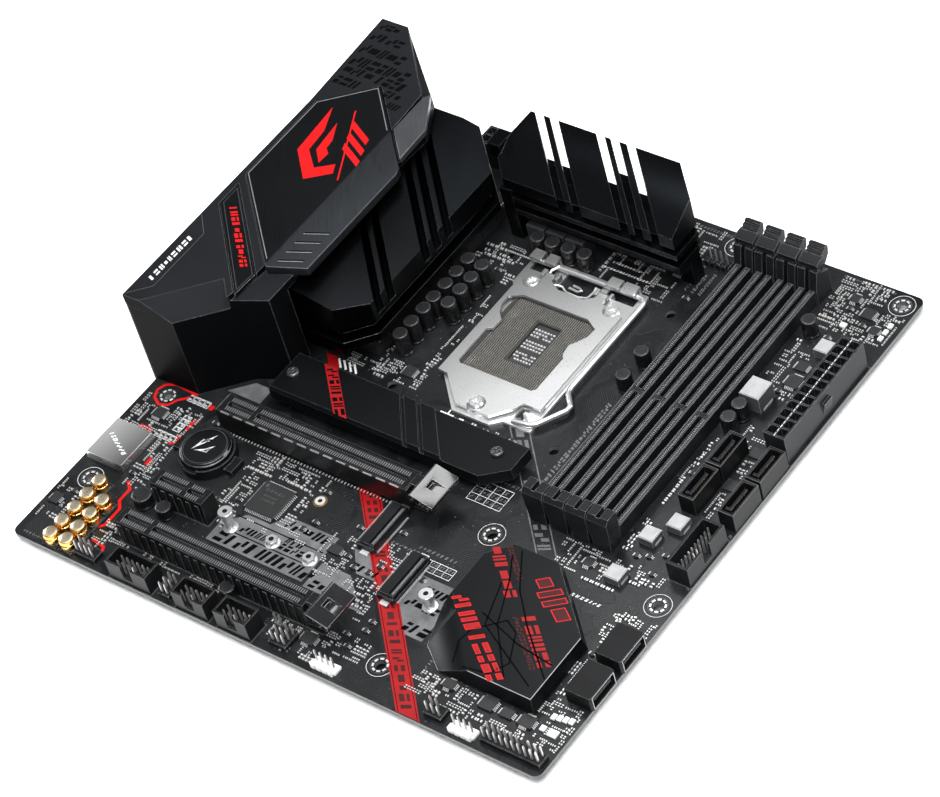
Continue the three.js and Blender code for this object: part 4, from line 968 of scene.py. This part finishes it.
def header_pins():
    pins = Parts("header_pins", "solder")
    for node, columns in zip(PIN_HEADERS, (6, 5, 5)):
        x, y, _ = middle(node)
        xs, ys = about(x, PITCH * (columns - 1) / 2), about(y, PITCH / 2)
        pin_grid(pins, xs, ys, columns, 2, (TOP + 1, 9.2), (columns - 2, 0))
    x, y, _ = middle("front_usb_header")
    pin_grid(pins, about(x, 1), about(y, 9), 2, 10, (TOP + 1, 8.8), (1, 9))
    grids = [
        ((96.4, 119.2), (-117.2, -114.6), 10, 2, 9.4, (6, 1)),
        ((-90.6, -83), (-118.4, -115.8), 4, 2, 9.4, (3, 1)),
        ((2.8, 7.9), (-117.6, -112.5), 3, 3, 9.2, (0, 2)),
        ((72, 77.1), (-117.2, -114.6), 3, 2, 9.2, (2, 1)),
        ((-48.4, -45.9), (-119, -113.9), 2, 3, 9.2, None),
    ]
    for xs, ys, columns, rows, top, missing in grids:
        pin_grid(pins, xs, ys, columns, rows, (TOP - SINK, top), missing)
    fans = ((22.8, -117.4, "white_plastic"), (83.8, -117.4, "white_plastic"), (38.4, 105.2, "black_plastic"))
    for x, y, _ in fans:
        for i in range(4):
            pins.pin(x + PITCH * i, y, (TOP + 1, 9.2))
    for x in (-1.4, 0.8):
        pins.pin(x, -110.6, (TOP - SINK, 8.4))
    pins.build()
    bases = Parts("header_bases", "black_plastic")
    for xs, ys in (((95, 120.6), (-118.6, -113.2)), ((-92, -81.6), (-119.8, -114.4)),
                   ((1.4, 9.3), (-119, -111.1)), ((70.6, 78.4), (-118.6, -113.2)),
                   ((-49.8, -44.6), (-120.3, -112.6))):
        bases.box(xs, ys, standing(2.3), "black_plastic", 0.25)
    for x, y, finish in fans:
        bases.box((x - 1.6, x + 9.0), about(y, 1.9), standing(1.5), finish, 0.3)
        for i in range(4):
            left = x - 1.25 + PITCH * i
            bases.box((left, left + 2), (y - 2.9, y - 0.6), standing(3.0), finish, 0.35)
    bases.build()


def power_cells(node, columns, rows):
    """The middle of each cell of a power connector."""
    (x0, _), (y0, y1), _ = span(node)
    cell = (y1 - y0 - 1) / rows
    return [(x0 + 0.3 + (i + 0.5) * cell, y0 + 0.5 + (j + 0.5) * cell)
            for i in range(columns) for j in range(rows)]


def power_pins():
    """Square terminals in every power cell, and the light seam between the main connector's rows."""
    parts = Parts("power_pins", "solder")
    for node, columns, rows in POWER_CELLS:
        for x, y in power_cells(node, columns, rows):
            outline = rectangle(about(x, 1.0), about(y, 1.0))
            parts.border(outline, 0.25, (4, roof(node) - 4.5), "pin_metal")
    (x0, _), (y0, y1), (_, top) = span("main_power_connector")
    for y in spread(y0 + 1, y1 - 1, 25):
        parts.box(about(x0 + 4.5, 0.09), about(y, 0.7), (top - SINK, top + 0.05), "white_plastic")
    parts.build()


def drive_port_contacts():
    parts = Parts("drive_port_contacts", "solder")
    for node in UPRIGHT_PORTS + LYING_PORTS:
        x, y, _ = middle(node)
        (_, front), _, (_, top) = span(node)
        upright = node in UPRIGHT_PORTS
        xs = (x + 0.6, x + 0.78) if upright else (front - 6, front - 1.2)
        zs = (4, top - 1.2) if upright else (5.75, 5.9)
        for k in range(7):
            parts.box(xs, (y - 3.9 + 1.27 * k, y - 3.3 + 1.27 * k), zs, "contact_gold")
    parts.build()


def card_socket_details():
    """The card sockets' mouths, as black strips of painted shade, their contact rows and soldered end clips.
    """
    parts = Parts("card_socket_details", "solder")
    for node in numbered("card_socket", 1, 2):
        (x0, x1), (y0, y1), (_, top) = span(node)
        # Painted shade: a black strip on top stands for the dark inside of each socket's mouth.
        parts.box((x1 - 2.3, x1 - 1.5), (y0 + 1.4, y1 - 1.4), (top - SINK, top + 0.05), "black_ink")
        parts.box((x0 + 0.5, x0 + 0.9), (y0 + 1, y1 - 1), (top - SINK, top + 0.05), "dim_metal")
        for k in range(int((y1 - y0 - 3) / 0.5)):
            ys = about(y0 + 1.6 + 0.5 * k, 0.12)
            parts.box((x1 - 1.2, x1 - 0.3), ys, (top - SINK, top + 0.06), "dim_metal")
            parts.box((x0 - 0.9, x0 + SINK), ys, standing(0.2), "solder")
            parts.box((x1 - SINK, x1 + 0.8), ys, standing(0.2), "solder")
        for y in (y0 - 0.9, y1 + 0.9):
            parts.block((x0 + x1) / 2, y, (3.4, 2.0), standing(0.7), "solder", 0.15)
    parts.build()


def upright_at(x, side):
    """For drawing on an upright wall at x: across is Y, up is Z, and height stands out to the side."""
    return Matrix(((0, 0, side, x), (1, 0, 0, 0), (0, 1, 0, 0), (0, 0, 0, 1)))


def drive_port_highlight_rims():
    """Painted highlights: bright borders round the drive ports' mouths, where light would catch their lips.
    """
    parts = Parts("drive_port_highlight_rims", "slate_plastic")
    for node in UPRIGHT_PORTS:
        (x0, x1), (y0, y1), (_, top) = span(node)
        lip = rectangle((x0 + 0.08, x1 - 0.08), (y0 + 0.08, y1 - 0.08))
        parts.border(lip, 0.16, (top - SINK, top + 0.05), "rail_light")
    for node in LYING_PORTS:
        (_, x1), (y0, y1), (_, top) = span(node)
        # Painted highlight: a pale metal frame on each lying port's front face.
        parts.matrix = upright_at(x1, 1)
        lip = rectangle((y0 + 1.0, y1 - 1.0), (TOP + 0.3, top - 0.2))
        parts.border(lip, 0.3, (-SINK, SINK), "dim_metal")
    parts.build()


def bright_blocks():
    """The light rectangular parts by the lower front corner and the top one."""
    parts = Parts("bright_blocks", "solder")
    blocks = [
        (111.7, -98.3, 1.7, 2.4), (113.95, -97.9, 1.7, 2.4), (116.2, -97.5, 1.7, 2.4),
        (118.45, -97.2, 1.7, 2.4), (115.6, -104.3, 3.6, 3.0), (111.2, -104.0, 2.0, 2.2),
        (101.4, 98, 2.4, 2.0), (117.4, 98, 1.6, 2.2), (117.4, 101.4, 1.6, 2.2), (117.4, 104.8, 1.6, 2.2),
    ]
    for x, y, width, depth in blocks:
        parts.block(x, y, (width, depth), standing(0.9), "white_plastic", 0.15)
        reserve(x, y, width + 0.6, depth + 0.6)
    parts.build()


def framed_parts():
    """Small coils by the audio shield, each in a white printed frame."""
    parts = Parts("framed_parts", "solder")
    places = [(-102.2 + 2.6 * i, -39.0, 1.5, 2.6) for i in range(4)]
    places += [(-102.6 + 2.4 * i, -58.5, 1.4, 2.6) for i in range(4)]
    places += [(-97.0, -47.6 - 2.1 * i, 2.8, 1.3) for i in range(4)]
    for x, y, width, depth in places:
        outline = rectangle(about(x, width / 2 + 0.35), about(y, depth / 2 + 0.35))
        parts.border(outline, 0.22, PRINT, "white_ink")
        length, across = max(width, depth) - 0.4, min(width, depth) * 0.8
        two_ended(parts, x, y, length, across, 0.7, "dark_ceramic", depth > width)
        reserve(x, y, width + 1.0, depth + 1.0)
    parts.build()


def socket_contacts():
    """The socket's field of bent spring contacts, and the small parts in its middle pocket."""
    cx, cy, _ = middle("socket_contact_carrier")
    floor, pitch = 3.3, 0.914
    contacts = Parts("socket_contacts", "gold_can")
    for i in range(40):
        for j in range(41):
            x, y = cx + (i - 19.5) * pitch, cy + (j - 20) * pitch
            if not (-3.2 < x < 8.9 and 28.7 < y < 50.5):
                base = rectangle((x - 0.26, x + 0.14), (y - 0.3, y + 0.1))
                tip = rectangle((x - 0.05, x + 0.19), (y, y + 0.24))
                rings = [at_height(base, floor - SINK), at_height(tip, floor + 0.42)]
                contacts.stack(rings, "socket_spring")
    contacts.build()
    pocket = Parts("socket_pocket_parts", "solder")
    for i in range(7):
        for j in range(12):
            if j % 4 != 3 and (i * 5 + j * 3) % 13:
                half = 0.42 if (i + j) % 3 else 0.3
                xs, ys = about(-1.3 + 1.37 * i, half), about(31.0 + 1.58 * j, 0.36)
                pocket.box(xs, ys, (2.1 - SINK, 2.75), "solder")
    pocket.build()


def hinge_wires():
    """Bent wires at the load plate's hinge: a long spring and a short hook in its middle."""
    wires = Parts("hinge_wires", "bright_steel")
    spring = [(-10.6, 75.4, 5.4), (-12.2, 72.4, 5.4), (-11.8, 69.6, 4.8), (-9.0, 67.0, 4.2),
              (-6.6, 68.2, 3.6), (-4.8, 68.6, 3.2), (-2.0, 66.9, 3.2), (4.0, 66.7, 3.2),
              (7.2, 67.8, 3.2), (8.6, 70.6, 4.2), (8.6, 72.6, 5.0)]
    hook = [(-2.2, 69.4), (2.2, 69.0), (3.2, 70.0), (1.6, 70.8), (-1.4, 71.0)]
    for path in (spring, at_height(hook, 3.2)):
        wires.rod(path, 0.5, "bright_steel")
    wires.build()


def memory_contacts():
    parts = Parts("memory_contacts", "gold_can")
    for node in MEMORY_SLOTS:
        x, _, _ = middle(node)
        for k in range(146):
            y = -22.2 + 0.85 * k
            if not 33 < y < 35.4:  # the slot's key
                for side in (-1, 1):
                    parts.box(beside(x, side, 1.52, 2.14), about(y, 0.17), (7.75, 8.4), "dim_metal")
        for side in (-1, 1):
            parts.box(beside(x, side, 2.75, 3.05), (-23, 102.5), (8.6 - SINK, 8.68), "rail_light")
    parts.build()


def slot_contacts():
    """Contacts along the card slots' tops, ribs down their sides, and the armour's stitches and tails."""
    contacts = Parts("slot_contacts", "solder")
    ribs = Parts("slot_ribs", "black_plastic")
    for node in ("long_slot_1", "short_slot", "long_slot_2"):
        (x0, _), _, (_, top) = span(node)
        _, y, _ = middle(node)
        length = 89.5 if node.startswith("long") else 25
        for k in range(math.ceil(length - 5.2)):
            x = x0 + 2.8 + k
            if abs(x + 65) > 1.1:
                for side in (-1, 1):
                    xs = about(x, 0.2)
                    contacts.box(xs, beside(y, side, 1.3, 3.1), (top - SINK, top + 0.06), "tick_metal")
                    contacts.box(xs, beside(y, side, 0.72, 0.98), (7, top - 1.2), "dim_metal")
        if node != "long_slot_1":
            for k in range(math.ceil((length - 3) / 4.1)):
                for side in (-1, 1):
                    ys = beside(y, side, 3.75 - SINK, 3.75 + 0.45)
                    ribs.box(about(x0 + 2.0 + 4.1 * k, 0.8), ys, (TOP, top - 1.6), "black_plastic")
    contacts.build()
    ribs.build()
    shell = Parts("slot_shell_stitches", "slot_armour")
    (x0, _), (y0, _), (_, top) = span("long_slot_1_shell")
    for k in range(14):
        ys = (y0 - 0.12, y0 + 0.45)
        shell.box(about(x0 + 5 + 6.2 * k, 2.1), ys, (top - 0.4, top + 0.08), "port_steel")
    for k in range(58):
        shell.box(about(x0 + 3 + 1.5 * k, 0.2), (y0 - 0.8, y0 + 0.1), standing(0.35), "solder")
    shell.build()


# ---- fasteners and standoffs ----
def standoffs():
    """Threaded posts, low hexagonal nuts and bare screw rings for the drives."""
    parts = Parts("drive_standoffs", "solder")
    for x, y, top in ((-46.5, -82.6, 10.8), (43.2, -78.8, 8.9)):
        post = [(2.9, TOP - SINK), (2.9, TOP + 0.3), (1.9, TOP + 0.4), (1.9, top - 1.6), (2.8, top - 1.5),
                (2.8, top - 0.2), (2.6, top)]
        parts.turned(x, y, post, "bright_steel")
        parts.turned(x, y, [(1.0, top - SINK), (1.0, top + 0.02)], "black_plastic", 16)
    for x, y in ((-27.5, -81.4), (-9.7, -81.7)):
        parts.turned(x, y, [(2.9, TOP - SINK), (2.9, TOP + 0.3)], "solder")
        parts.turned(x, y, [(2.55, TOP + 0.2), (2.55, 3.8), (2.3, 4.05)], "bright_steel", 6)
        parts.turned(x, y, [(1.05, 4.0), (1.05, 4.07)], "black_plastic", 16)
    parts.annulus(-24, -57.6, 1.6, 2.8, standing(0.12), "contact_gold")
    parts.annulus(-24, -57.6, 0.9, 2.0, standing(0.5), "solder")
    parts.annulus(28.5, -15.5, 2.4, 3.1, standing(0.2), "solder")
    parts.build()


# ---- rear cover: marks and engraving ----
COVER_FLAT_Z = 46.5
COVER_RISE_Y = 78.0
PLATE_FOLD_X = -81.0
PLATE_TOP = roof("cover_plate")
PLATE_FALL = 1.8 / 21  # the slope beyond the fold


def plate_decal(parts, outline, finish):
    """A flat shape that follows the plate's fall past its fold."""
    if area(outline) < 0:
        outline = outline[::-1]
    heights = [PLATE_TOP - max(0.0, x - PLATE_FOLD_X) * PLATE_FALL for x, _ in outline]
    rings = [[(x, y, z + lift) for (x, y), z in zip(outline, heights)] for lift in (-SINK, INK)]
    parts.stack(rings, finish)


def cover_emblem():
    """A made-up badge: two nested chevrons, three slanted bars and a thin slash."""
    emblem = Parts("cover_emblem", "red_accent")
    turn = Matrix.Rotation(math.pi / 2, 4, "Z") @ Matrix.Diagonal((1.2, 1.2, 1, 1))
    emblem.matrix = Matrix.Translation((-95, 58.6, 0)) @ turn
    chevrons = [
        [(-15, 1), (-5, 11.4), (15.6, 13), (5.6, 8.6), (-3.4, 7.8), (-9.4, 1), (-5.2, -4.6), (-9, -6.4)],
        [(-7, 1), (-2.4, 5.6), (10.4, 7), (3, 3.2), (-0.6, 2.8), (-2.4, 0.6)],
    ]
    bars = []
    for i in range(3):
        x, foot = -3.4 + 4.6 * i, -11.6 + 1.7 * i
        bars.append([(x, foot), (x + 2.5, foot + 0.5), (x + 7.4, foot + 10.4), (x + 4.6, foot + 9.4)])
    for outline in chevrons + bars:
        emblem.prism(outline, printed(PLATE_TOP), "red_glow")
    slash = [(-11, -9.6), (-10.4, -9.9), (17.4, 4.6), (17, 5.0)]
    emblem.prism(slash, (PLATE_TOP, PLATE_TOP + 2 * INK), "red_glow")
    emblem.build()


def cover_details():
    """Marks and thin borders on the cover's flat parts, and dashes with glints on its plate."""
    strip_z = roof("cover_strip")
    marks = Parts("cover_marks", "printed_ink")
    marks.marks((-117.0, -26), 90, 24, 2.4, COVER_FLAT_Z, "white_ink", 71, 0.4)
    marks.marks((-114.6, 17.4), -43.6, 33, 2.8, strip_z, "red_glow", 72, 0.3)
    strip = [(-118.6, 18.6), (-83.6, -16), (-83.2, -6.8), (-118.6, 27.2)]
    marks.border(strip, 0.22, printed(strip_z), "dim_ink")
    badge = [(-122.4, 10), (-114.6, 2), (-114.6, -28), (-122.4, -35.8)]
    marks.stroke(badge, 0.3, printed(COVER_FLAT_Z), "dim_ink")
    marks.build()
    lines = Parts("cover_lines", "brushed_plate")
    border = [(-82, 0.9), (-118.3, 34.2), (-118.3, 77), (-100.5, 93.2), (-82.4, 75.6)]
    lines.stroke(border, 0.35, printed(PLATE_TOP), "dim_metal")
    for i in range(4):
        y = 17.6 - 5.2 * i
        near, far = (-77.6, y), (-69.0, y + 4.4)
        plate_decal(lines, [near, far, (-69.0, y + 5.2), (-77.6, y + 0.8)], "black_ink")
        plate_decal(lines, [(-77.6, y - 0.3), (-69.0, y + 4.1), far, near], "dim_metal")
    lines.build()


def cover_engraving():
    """Rows of raised marks over the cover's rising end, kept inside its outline."""
    engraved = Parts("cover_engraving", "cover_paint")
    _, (_, end_y), (_, end_z) = span("port_cover")
    tilt = Matrix.Rotation(math.atan2(end_z - COVER_FLAT_Z, end_y - COVER_RISE_Y), 4, "X")
    engraved.matrix = Matrix.Translation((0, COVER_RISE_Y, COVER_FLAT_Z)) @ tilt
    rows = [
        (-120.8, 44.4, 9, 3.0), (-121.2, 39.0, 12, 3.8), (-121.2, 32.6, 19, 4.8), (-121.2, 26.0, 26, 5.0),
        (-121.2, 20.4, 12, 4.0), (-121.2, 14.6, 8, 4.2), (-104.6, 20.4, 13, 4.2), (-97.4, 15.2, 8, 3.6),
        (-92.6, 10.4, 5.6, 3.2),
    ]
    for i, (x, y, row, height) in enumerate(rows):
        engraved.marks((x, y - height + 1), 0, row, height, 0, "gloss_ink", 80 + i, 0.2)
    engraved.build()


def small_badges():
    """Made-up marks on the battery's can and the audio shield."""
    badges = Parts("small_badges", "printed_ink")
    x, y, _ = middle("coin_cell")
    badges.matrix = Matrix.Translation((x, y, 0)) @ Matrix.Rotation(math.pi / 4, 4, "Z")
    zs = printed(roof("coin_cell"))
    for i in range(3):
        reach, rise = 5.4 - 1.6 * i, 0.4 * i
        above = [(-reach, 0.4 + i), (0, 2.6 + rise), (reach, 3.6 - i), (0, 1.5 + rise)]
        below = [(-reach + 1, -0.5 - i), (0.4, -2.8 - rise), (reach - 1.6, -1.4 - rise), (0, -1.6 - rise)]
        for outline in (above, below):
            badges.prism(outline, zs, "white_ink")
    badges.annulus(0, 0, 8.3, 8.5, zs, "dim_ink", 48)
    badges.matrix = Matrix()
    (x0, x1), (y0, y1), (_, top) = span("audio_shield")
    badges.marks((x0 + 3.0, (y0 + y1) / 2 + 1.4), -28, x1 - x0 - 5.4, 1.7, top, "white_ink", 91, 0.45)
    badges.build()


# ---- heatsink prints ----
def heatsink_prints():
    """The stripe on the drive heatsink; rows, crossing lines and a painted highlight along two top edges on
    the chipset's.
    """
    top = roof("drive_heatsink")
    drive = Parts("drive_heatsink_print", "red_accent")
    drive.prism([(-57.6, -8.8), (-51.2, -8.8), (-32.2, -27.4), (-38.6, -27.4)], printed(top), "red_ink")
    drive.marks((-54.9, -10.6), -44.4, 22, 3.6, top + INK, "black_ink", 31, 0.3)
    drive.build()
    top = roof("chipset_heatsink")
    sink = Parts("chipset_prints", "red_accent")
    rows = [
        ((50.6, -51.0), -41, 25, 4.4, "red_ink", None), ((55.4, -47.4), -41, 16, 2.0, "dark_red_ink", None),
        ((72.7, -56.8), -34, 23, 8.4, "dark_red_ink", "red_glow"),
        ((79.6, -71.6), -40, 25, 4.6, "red_ink", None), ((76.8, -73.0), -40, 25, 2.0, "dark_red_ink", None),
        ((51.6, -75.4), -35.5, 40, 5.4, "red_ink", "red_glow"),
    ]
    for i, (start, angle, length, height, finish, rim) in enumerate(rows):
        sink.marks(start, angle, length, height, top, finish, 41 + i, 0.2, rim)
    sink.build()
    # Painted highlight: a thin pale metal line along two of the chipset heatsink's top edges.
    edge = Parts("chipset_edge_highlight", "brushed_plate")
    edge.stroke([(76.7, -99.3), (103.8, -99.3), (103.8, -69.8)], 0.3, printed(top), "dim_metal")
    edge.build()
    lines = Parts("chipset_lines", "black_plastic")
    paths = [
        [(60, -50), (66, -60), (74, -78), (90, -96)],
        [(62, -47), (72, -62), (84, -74), (103, -90)],
        [(70, -99), (66, -90), (67, -84), (76, -75), (82, -78), (88, -90), (84, -97), (74, -98.6)],
        [(66, -76), (86, -82), (102, -84)],
        [(64, -62), (70, -80), (100, -95)],
    ]
    for path in paths:
        lines.stroke(path, 0.6, printed(top), "black_ink")
    lines.build()


# ---- rear ports ----
REAR_FACE = span("usb_ports_1")[0][0]


def port_tongues():
    inside = Parts("port_tongues", "black_plastic")
    for node, finish in zip(USB_PORTS, ("red_plastic", "blue_plastic")):
        _, (y0, y1), (z0, z1) = span(node)
        for z in (z0 + (z1 - z0) / 4, z0 + (z1 - z0) * 3 / 4):
            inside.box((REAR_FACE + 0.8, REAR_FACE + 8.5), (y0 + 1.8, y1 - 1.8), (z + 0.5, z + 2.1), finish)
            for k in range(4):
                ys = about(y0 + 3.6 + 2.0 * k, 0.5)
                inside.box((REAR_FACE + 1.2, REAR_FACE + 7), ys, (z + 0.38, z + 0.52), "contact_gold")
    _, (y0, y1), _ = span("display_ports")
    for z in (7.3, 17.2):
        inside.box((REAR_FACE + 0.6, REAR_FACE + 6), (y0 + 3.2, y1 - 3.2), about(z, 0.6), "black_plastic")
    inside.build()


def port_trim():
    """Metal lips of the display ports, rings of the audio jacks, and the threaded aerial sockets."""
    trim = Parts("port_trim", "bright_steel")
    trim.matrix = upright_at(REAR_FACE, -1)
    _, (y0, y1), _ = span("display_ports")
    for z0, z1 in ((5.2, 9.4), (15, 19.4)):
        outline = [(y0 + 0.8, z0 + 1.2), (y0 + 2.2, z0 - 0.2), (y1 - 2.2, z0 - 0.2), (y1 - 0.8, z0 + 1.2),
                   (y1 - 0.8, z1 + 0.2), (y0 + 0.8, z1 + 0.2)]
        trim.border(outline, 0.35, (-3, 0.3), "port_steel")
    for y, z in ((-27.6, 18.6), (-27.6, 29.8), (-14.4, 7.4), (-14.4, 18.6), (-14.4, 29.8)):
        trim.annulus(y, z, 1.95, 3.4, (-1, 0.7), "port_steel")
        trim.annulus(y, z, 3.5, 4.6, (-1, 0.3), "black_plastic")
    for y in (5.2, 12.6):
        trim.annulus(y, 9.6, 3.12, 4.4, (0.5, 1.9), "contact_gold", 6)
        for k in range(6):
            trim.annulus(y, 9.6, 3.05, 3.3, (2.6 + 0.7 * k, 2.9 + 0.7 * k), "contact_gold")
    trim.build()


def port_lamps():
    """The network port's lamps and contacts, and the round keyboard socket."""
    lamps = Parts("port_lamps", "slate_plastic")
    _, (y0, y1), _ = span("network_port")
    for y, finish in ((y0 + 2.6, "green_plastic"), (y1 - 2.6, "amber_plastic")):
        lamps.box((REAR_FACE - 0.12, REAR_FACE + 0.4), about(y, 1.0), (27.9, 29.0), finish)
    for k in range(8):
        y = y0 + 4.3 + 1.05 * k
        wire = [(REAR_FACE + 11, y, 26.6), (REAR_FACE + 3, y, 26.0), (REAR_FACE + 2.4, y, 23)]
        lamps.rod(wire, 0.16, "contact_gold", 6)
    _, y, _ = middle("keyboard_usb_port")
    lamps.matrix = upright_at(REAR_FACE, -1)
    lamps.annulus(y, 23, 4.7, 5.6, (-2, 0.25), "port_steel", 32)
    lamps.turned(y, 23, [(4.6, -8), (4.6, -3)], "black_plastic", 32)
    lamps.box(about(y, 0.8), (21.0, 23.2), (-4, -1.2), "black_plastic")
    lamps.build()


# ---- underside ----
def joint_spots():
    """Where through-hole parts come out below."""
    spots = []
    for node in MEMORY_SLOTS:
        x, _, _ = middle(node)
        for k in range(60):
            spots += [(x - 1.9, -20 + 2.06 * k), (x + 1.9, -19 + 2.06 * k)]
    for node, columns in (("long_slot_1", 42), ("long_slot_2", 42), ("short_slot", 12)):
        x0 = span(node)[0][0]
        _, y, _ = middle(node)
        spots += [(x0 + 3 + 2.0 * k, y + side) for k in range(columns) for side in (-2.1, 2.1)]
    for connector in POWER_CELLS:
        spots += power_cells(*connector)
    for node in ("front_usb_header", *PIN_HEADERS, *UPRIGHT_PORTS, *LYING_PORTS, "keyboard_usb_port",
                 "display_ports", *USB_PORTS, "network_port", "audio_jacks"):
        (x0, x1), (y0, y1), _ = span(node)
        x0, x1 = max(x0, 1.5 - BOARD_EDGE), min(x1, BOARD_EDGE - 1.5)
        for x in spread(x0 + 1.6, x1 - 1.6, max(2, int((x1 - x0) / 3))):
            spots += [(x, y) for y in spread(y0 + 1.6, y1 - 1.6, max(2, int((y1 - y0) / 3)))]
    return spots


def underside():
    joints = Parts("underside_joints", "solder")
    for x, y in joint_spots():
        joints.turned(x, y, [(0.16, -1.3), (0.3, -0.9), (0.62, -0.25), (0.85, SINK)], "solder", 8)
    joints.build()


# ---- camera, light and floor ----
CAMERA_PLACE = Vector((713.76, -614.41, 949.06)) * MM
CAMERA_AIM = Vector((-0.53498, 0.46382, -0.70614)).normalized()  # 44.9 degrees down, at azimuth 49.1
CAMERA_ROLL = math.radians(-17.09)
LIGHTS = {  # place, target, size and power
    "overhead": ((0.30, -0.20, 1.3), (0, 0, 0), (1.3, 1.1), 40),
    "gradient": ((-0.13, 0.24, 0.52), (-0.02, 0.03, 0.03), (0.20, 0.16), 0.7),
    "side": ((1.2, 0.9, 0.7), (0, 0, 0.02), (0.8, 0.6), 8),
    "rim": ((-1.15, 0.05, 0.55), (0.05, -0.05, 0.02), (0.4, 0.3), 5),
    "front": ((0.62, -0.62, 0.86), (0, 0, 0.02), (0.2, 0.2), 2.5),
}
FLOOR_HALF = 3.0
FLOOR_GAP = 0.0004  # between the lowest point and the floor


def link(name, data):
    obj = bpy.data.objects.new(name, data)
    bpy.context.scene.collection.objects.link(obj)
    return obj


def camera():
    """Looks down from the front right corner, with the rear edge leaning left."""
    data = bpy.data.cameras.new("camera")
    data.sensor_width = 36
    data.lens = 140.18
    data.clip_end = 20
    level = CAMERA_AIM.cross(Vector((0, 0, 1))).normalized()
    up = level.cross(CAMERA_AIM)
    right = level * math.cos(CAMERA_ROLL) + up * math.sin(CAMERA_ROLL)
    top = up * math.cos(CAMERA_ROLL) - level * math.sin(CAMERA_ROLL)
    obj = link("camera", data)
    axes = Matrix((right, top, -CAMERA_AIM)).transposed().to_4x4()
    obj.matrix_world = Matrix.Translation(CAMERA_PLACE) @ axes
    bpy.context.scene.camera = obj


def lights():
    for name, (place, target, size, power) in LIGHTS.items():
        data = bpy.data.lights.new(name, "AREA")
        data.shape = "RECTANGLE"
        data.size, data.size_y = size
        data.energy = power
        obj = link(name, data)
        obj.location = place
        obj.rotation_euler = (Vector(target) - Vector(place)).to_track_quat("-Z", "Y").to_euler()
    world = bpy.data.worlds.new("world")
    world.use_nodes = True
    background = world.node_tree.nodes["Background"].inputs
    background["Color"].default_value = (0.95, 0.97, 1.0, 1)
    background["Strength"].default_value = 0.14
    bpy.context.scene.world = world
    bpy.context.scene.view_settings.view_transform = "Standard"


def floor():
    mesh = bpy.data.meshes.new("floor")
    reach = (-FLOOR_HALF, FLOOR_HALF)
    corners = at_height(rectangle(reach, reach), cad_bounds[0].z - FLOOR_GAP)
    mesh.from_pydata(corners, [], [(0, 1, 2, 3)])
    mesh.materials.append(look("pale_floor"))
    link("floor", mesh)


dress_nodes()
reserve_everything()
hole_rings()
red_prints()
grey_prints()
white_prints()
capacitors()
audio_capacitors()
inductors()
chips()
bright_blocks()
framed_parts()
small_parts()
header_pins()
power_pins()
drive_port_contacts()
drive_port_highlight_rims()
card_socket_details()
socket_contacts()
hinge_wires()
memory_contacts()
slot_contacts()
standoffs()
cover_emblem()
cover_details()
cover_engraving()
small_badges()
heatsink_prints()
port_tongues()
port_trim()
port_lamps()
underside()
camera()
floor()
lights()
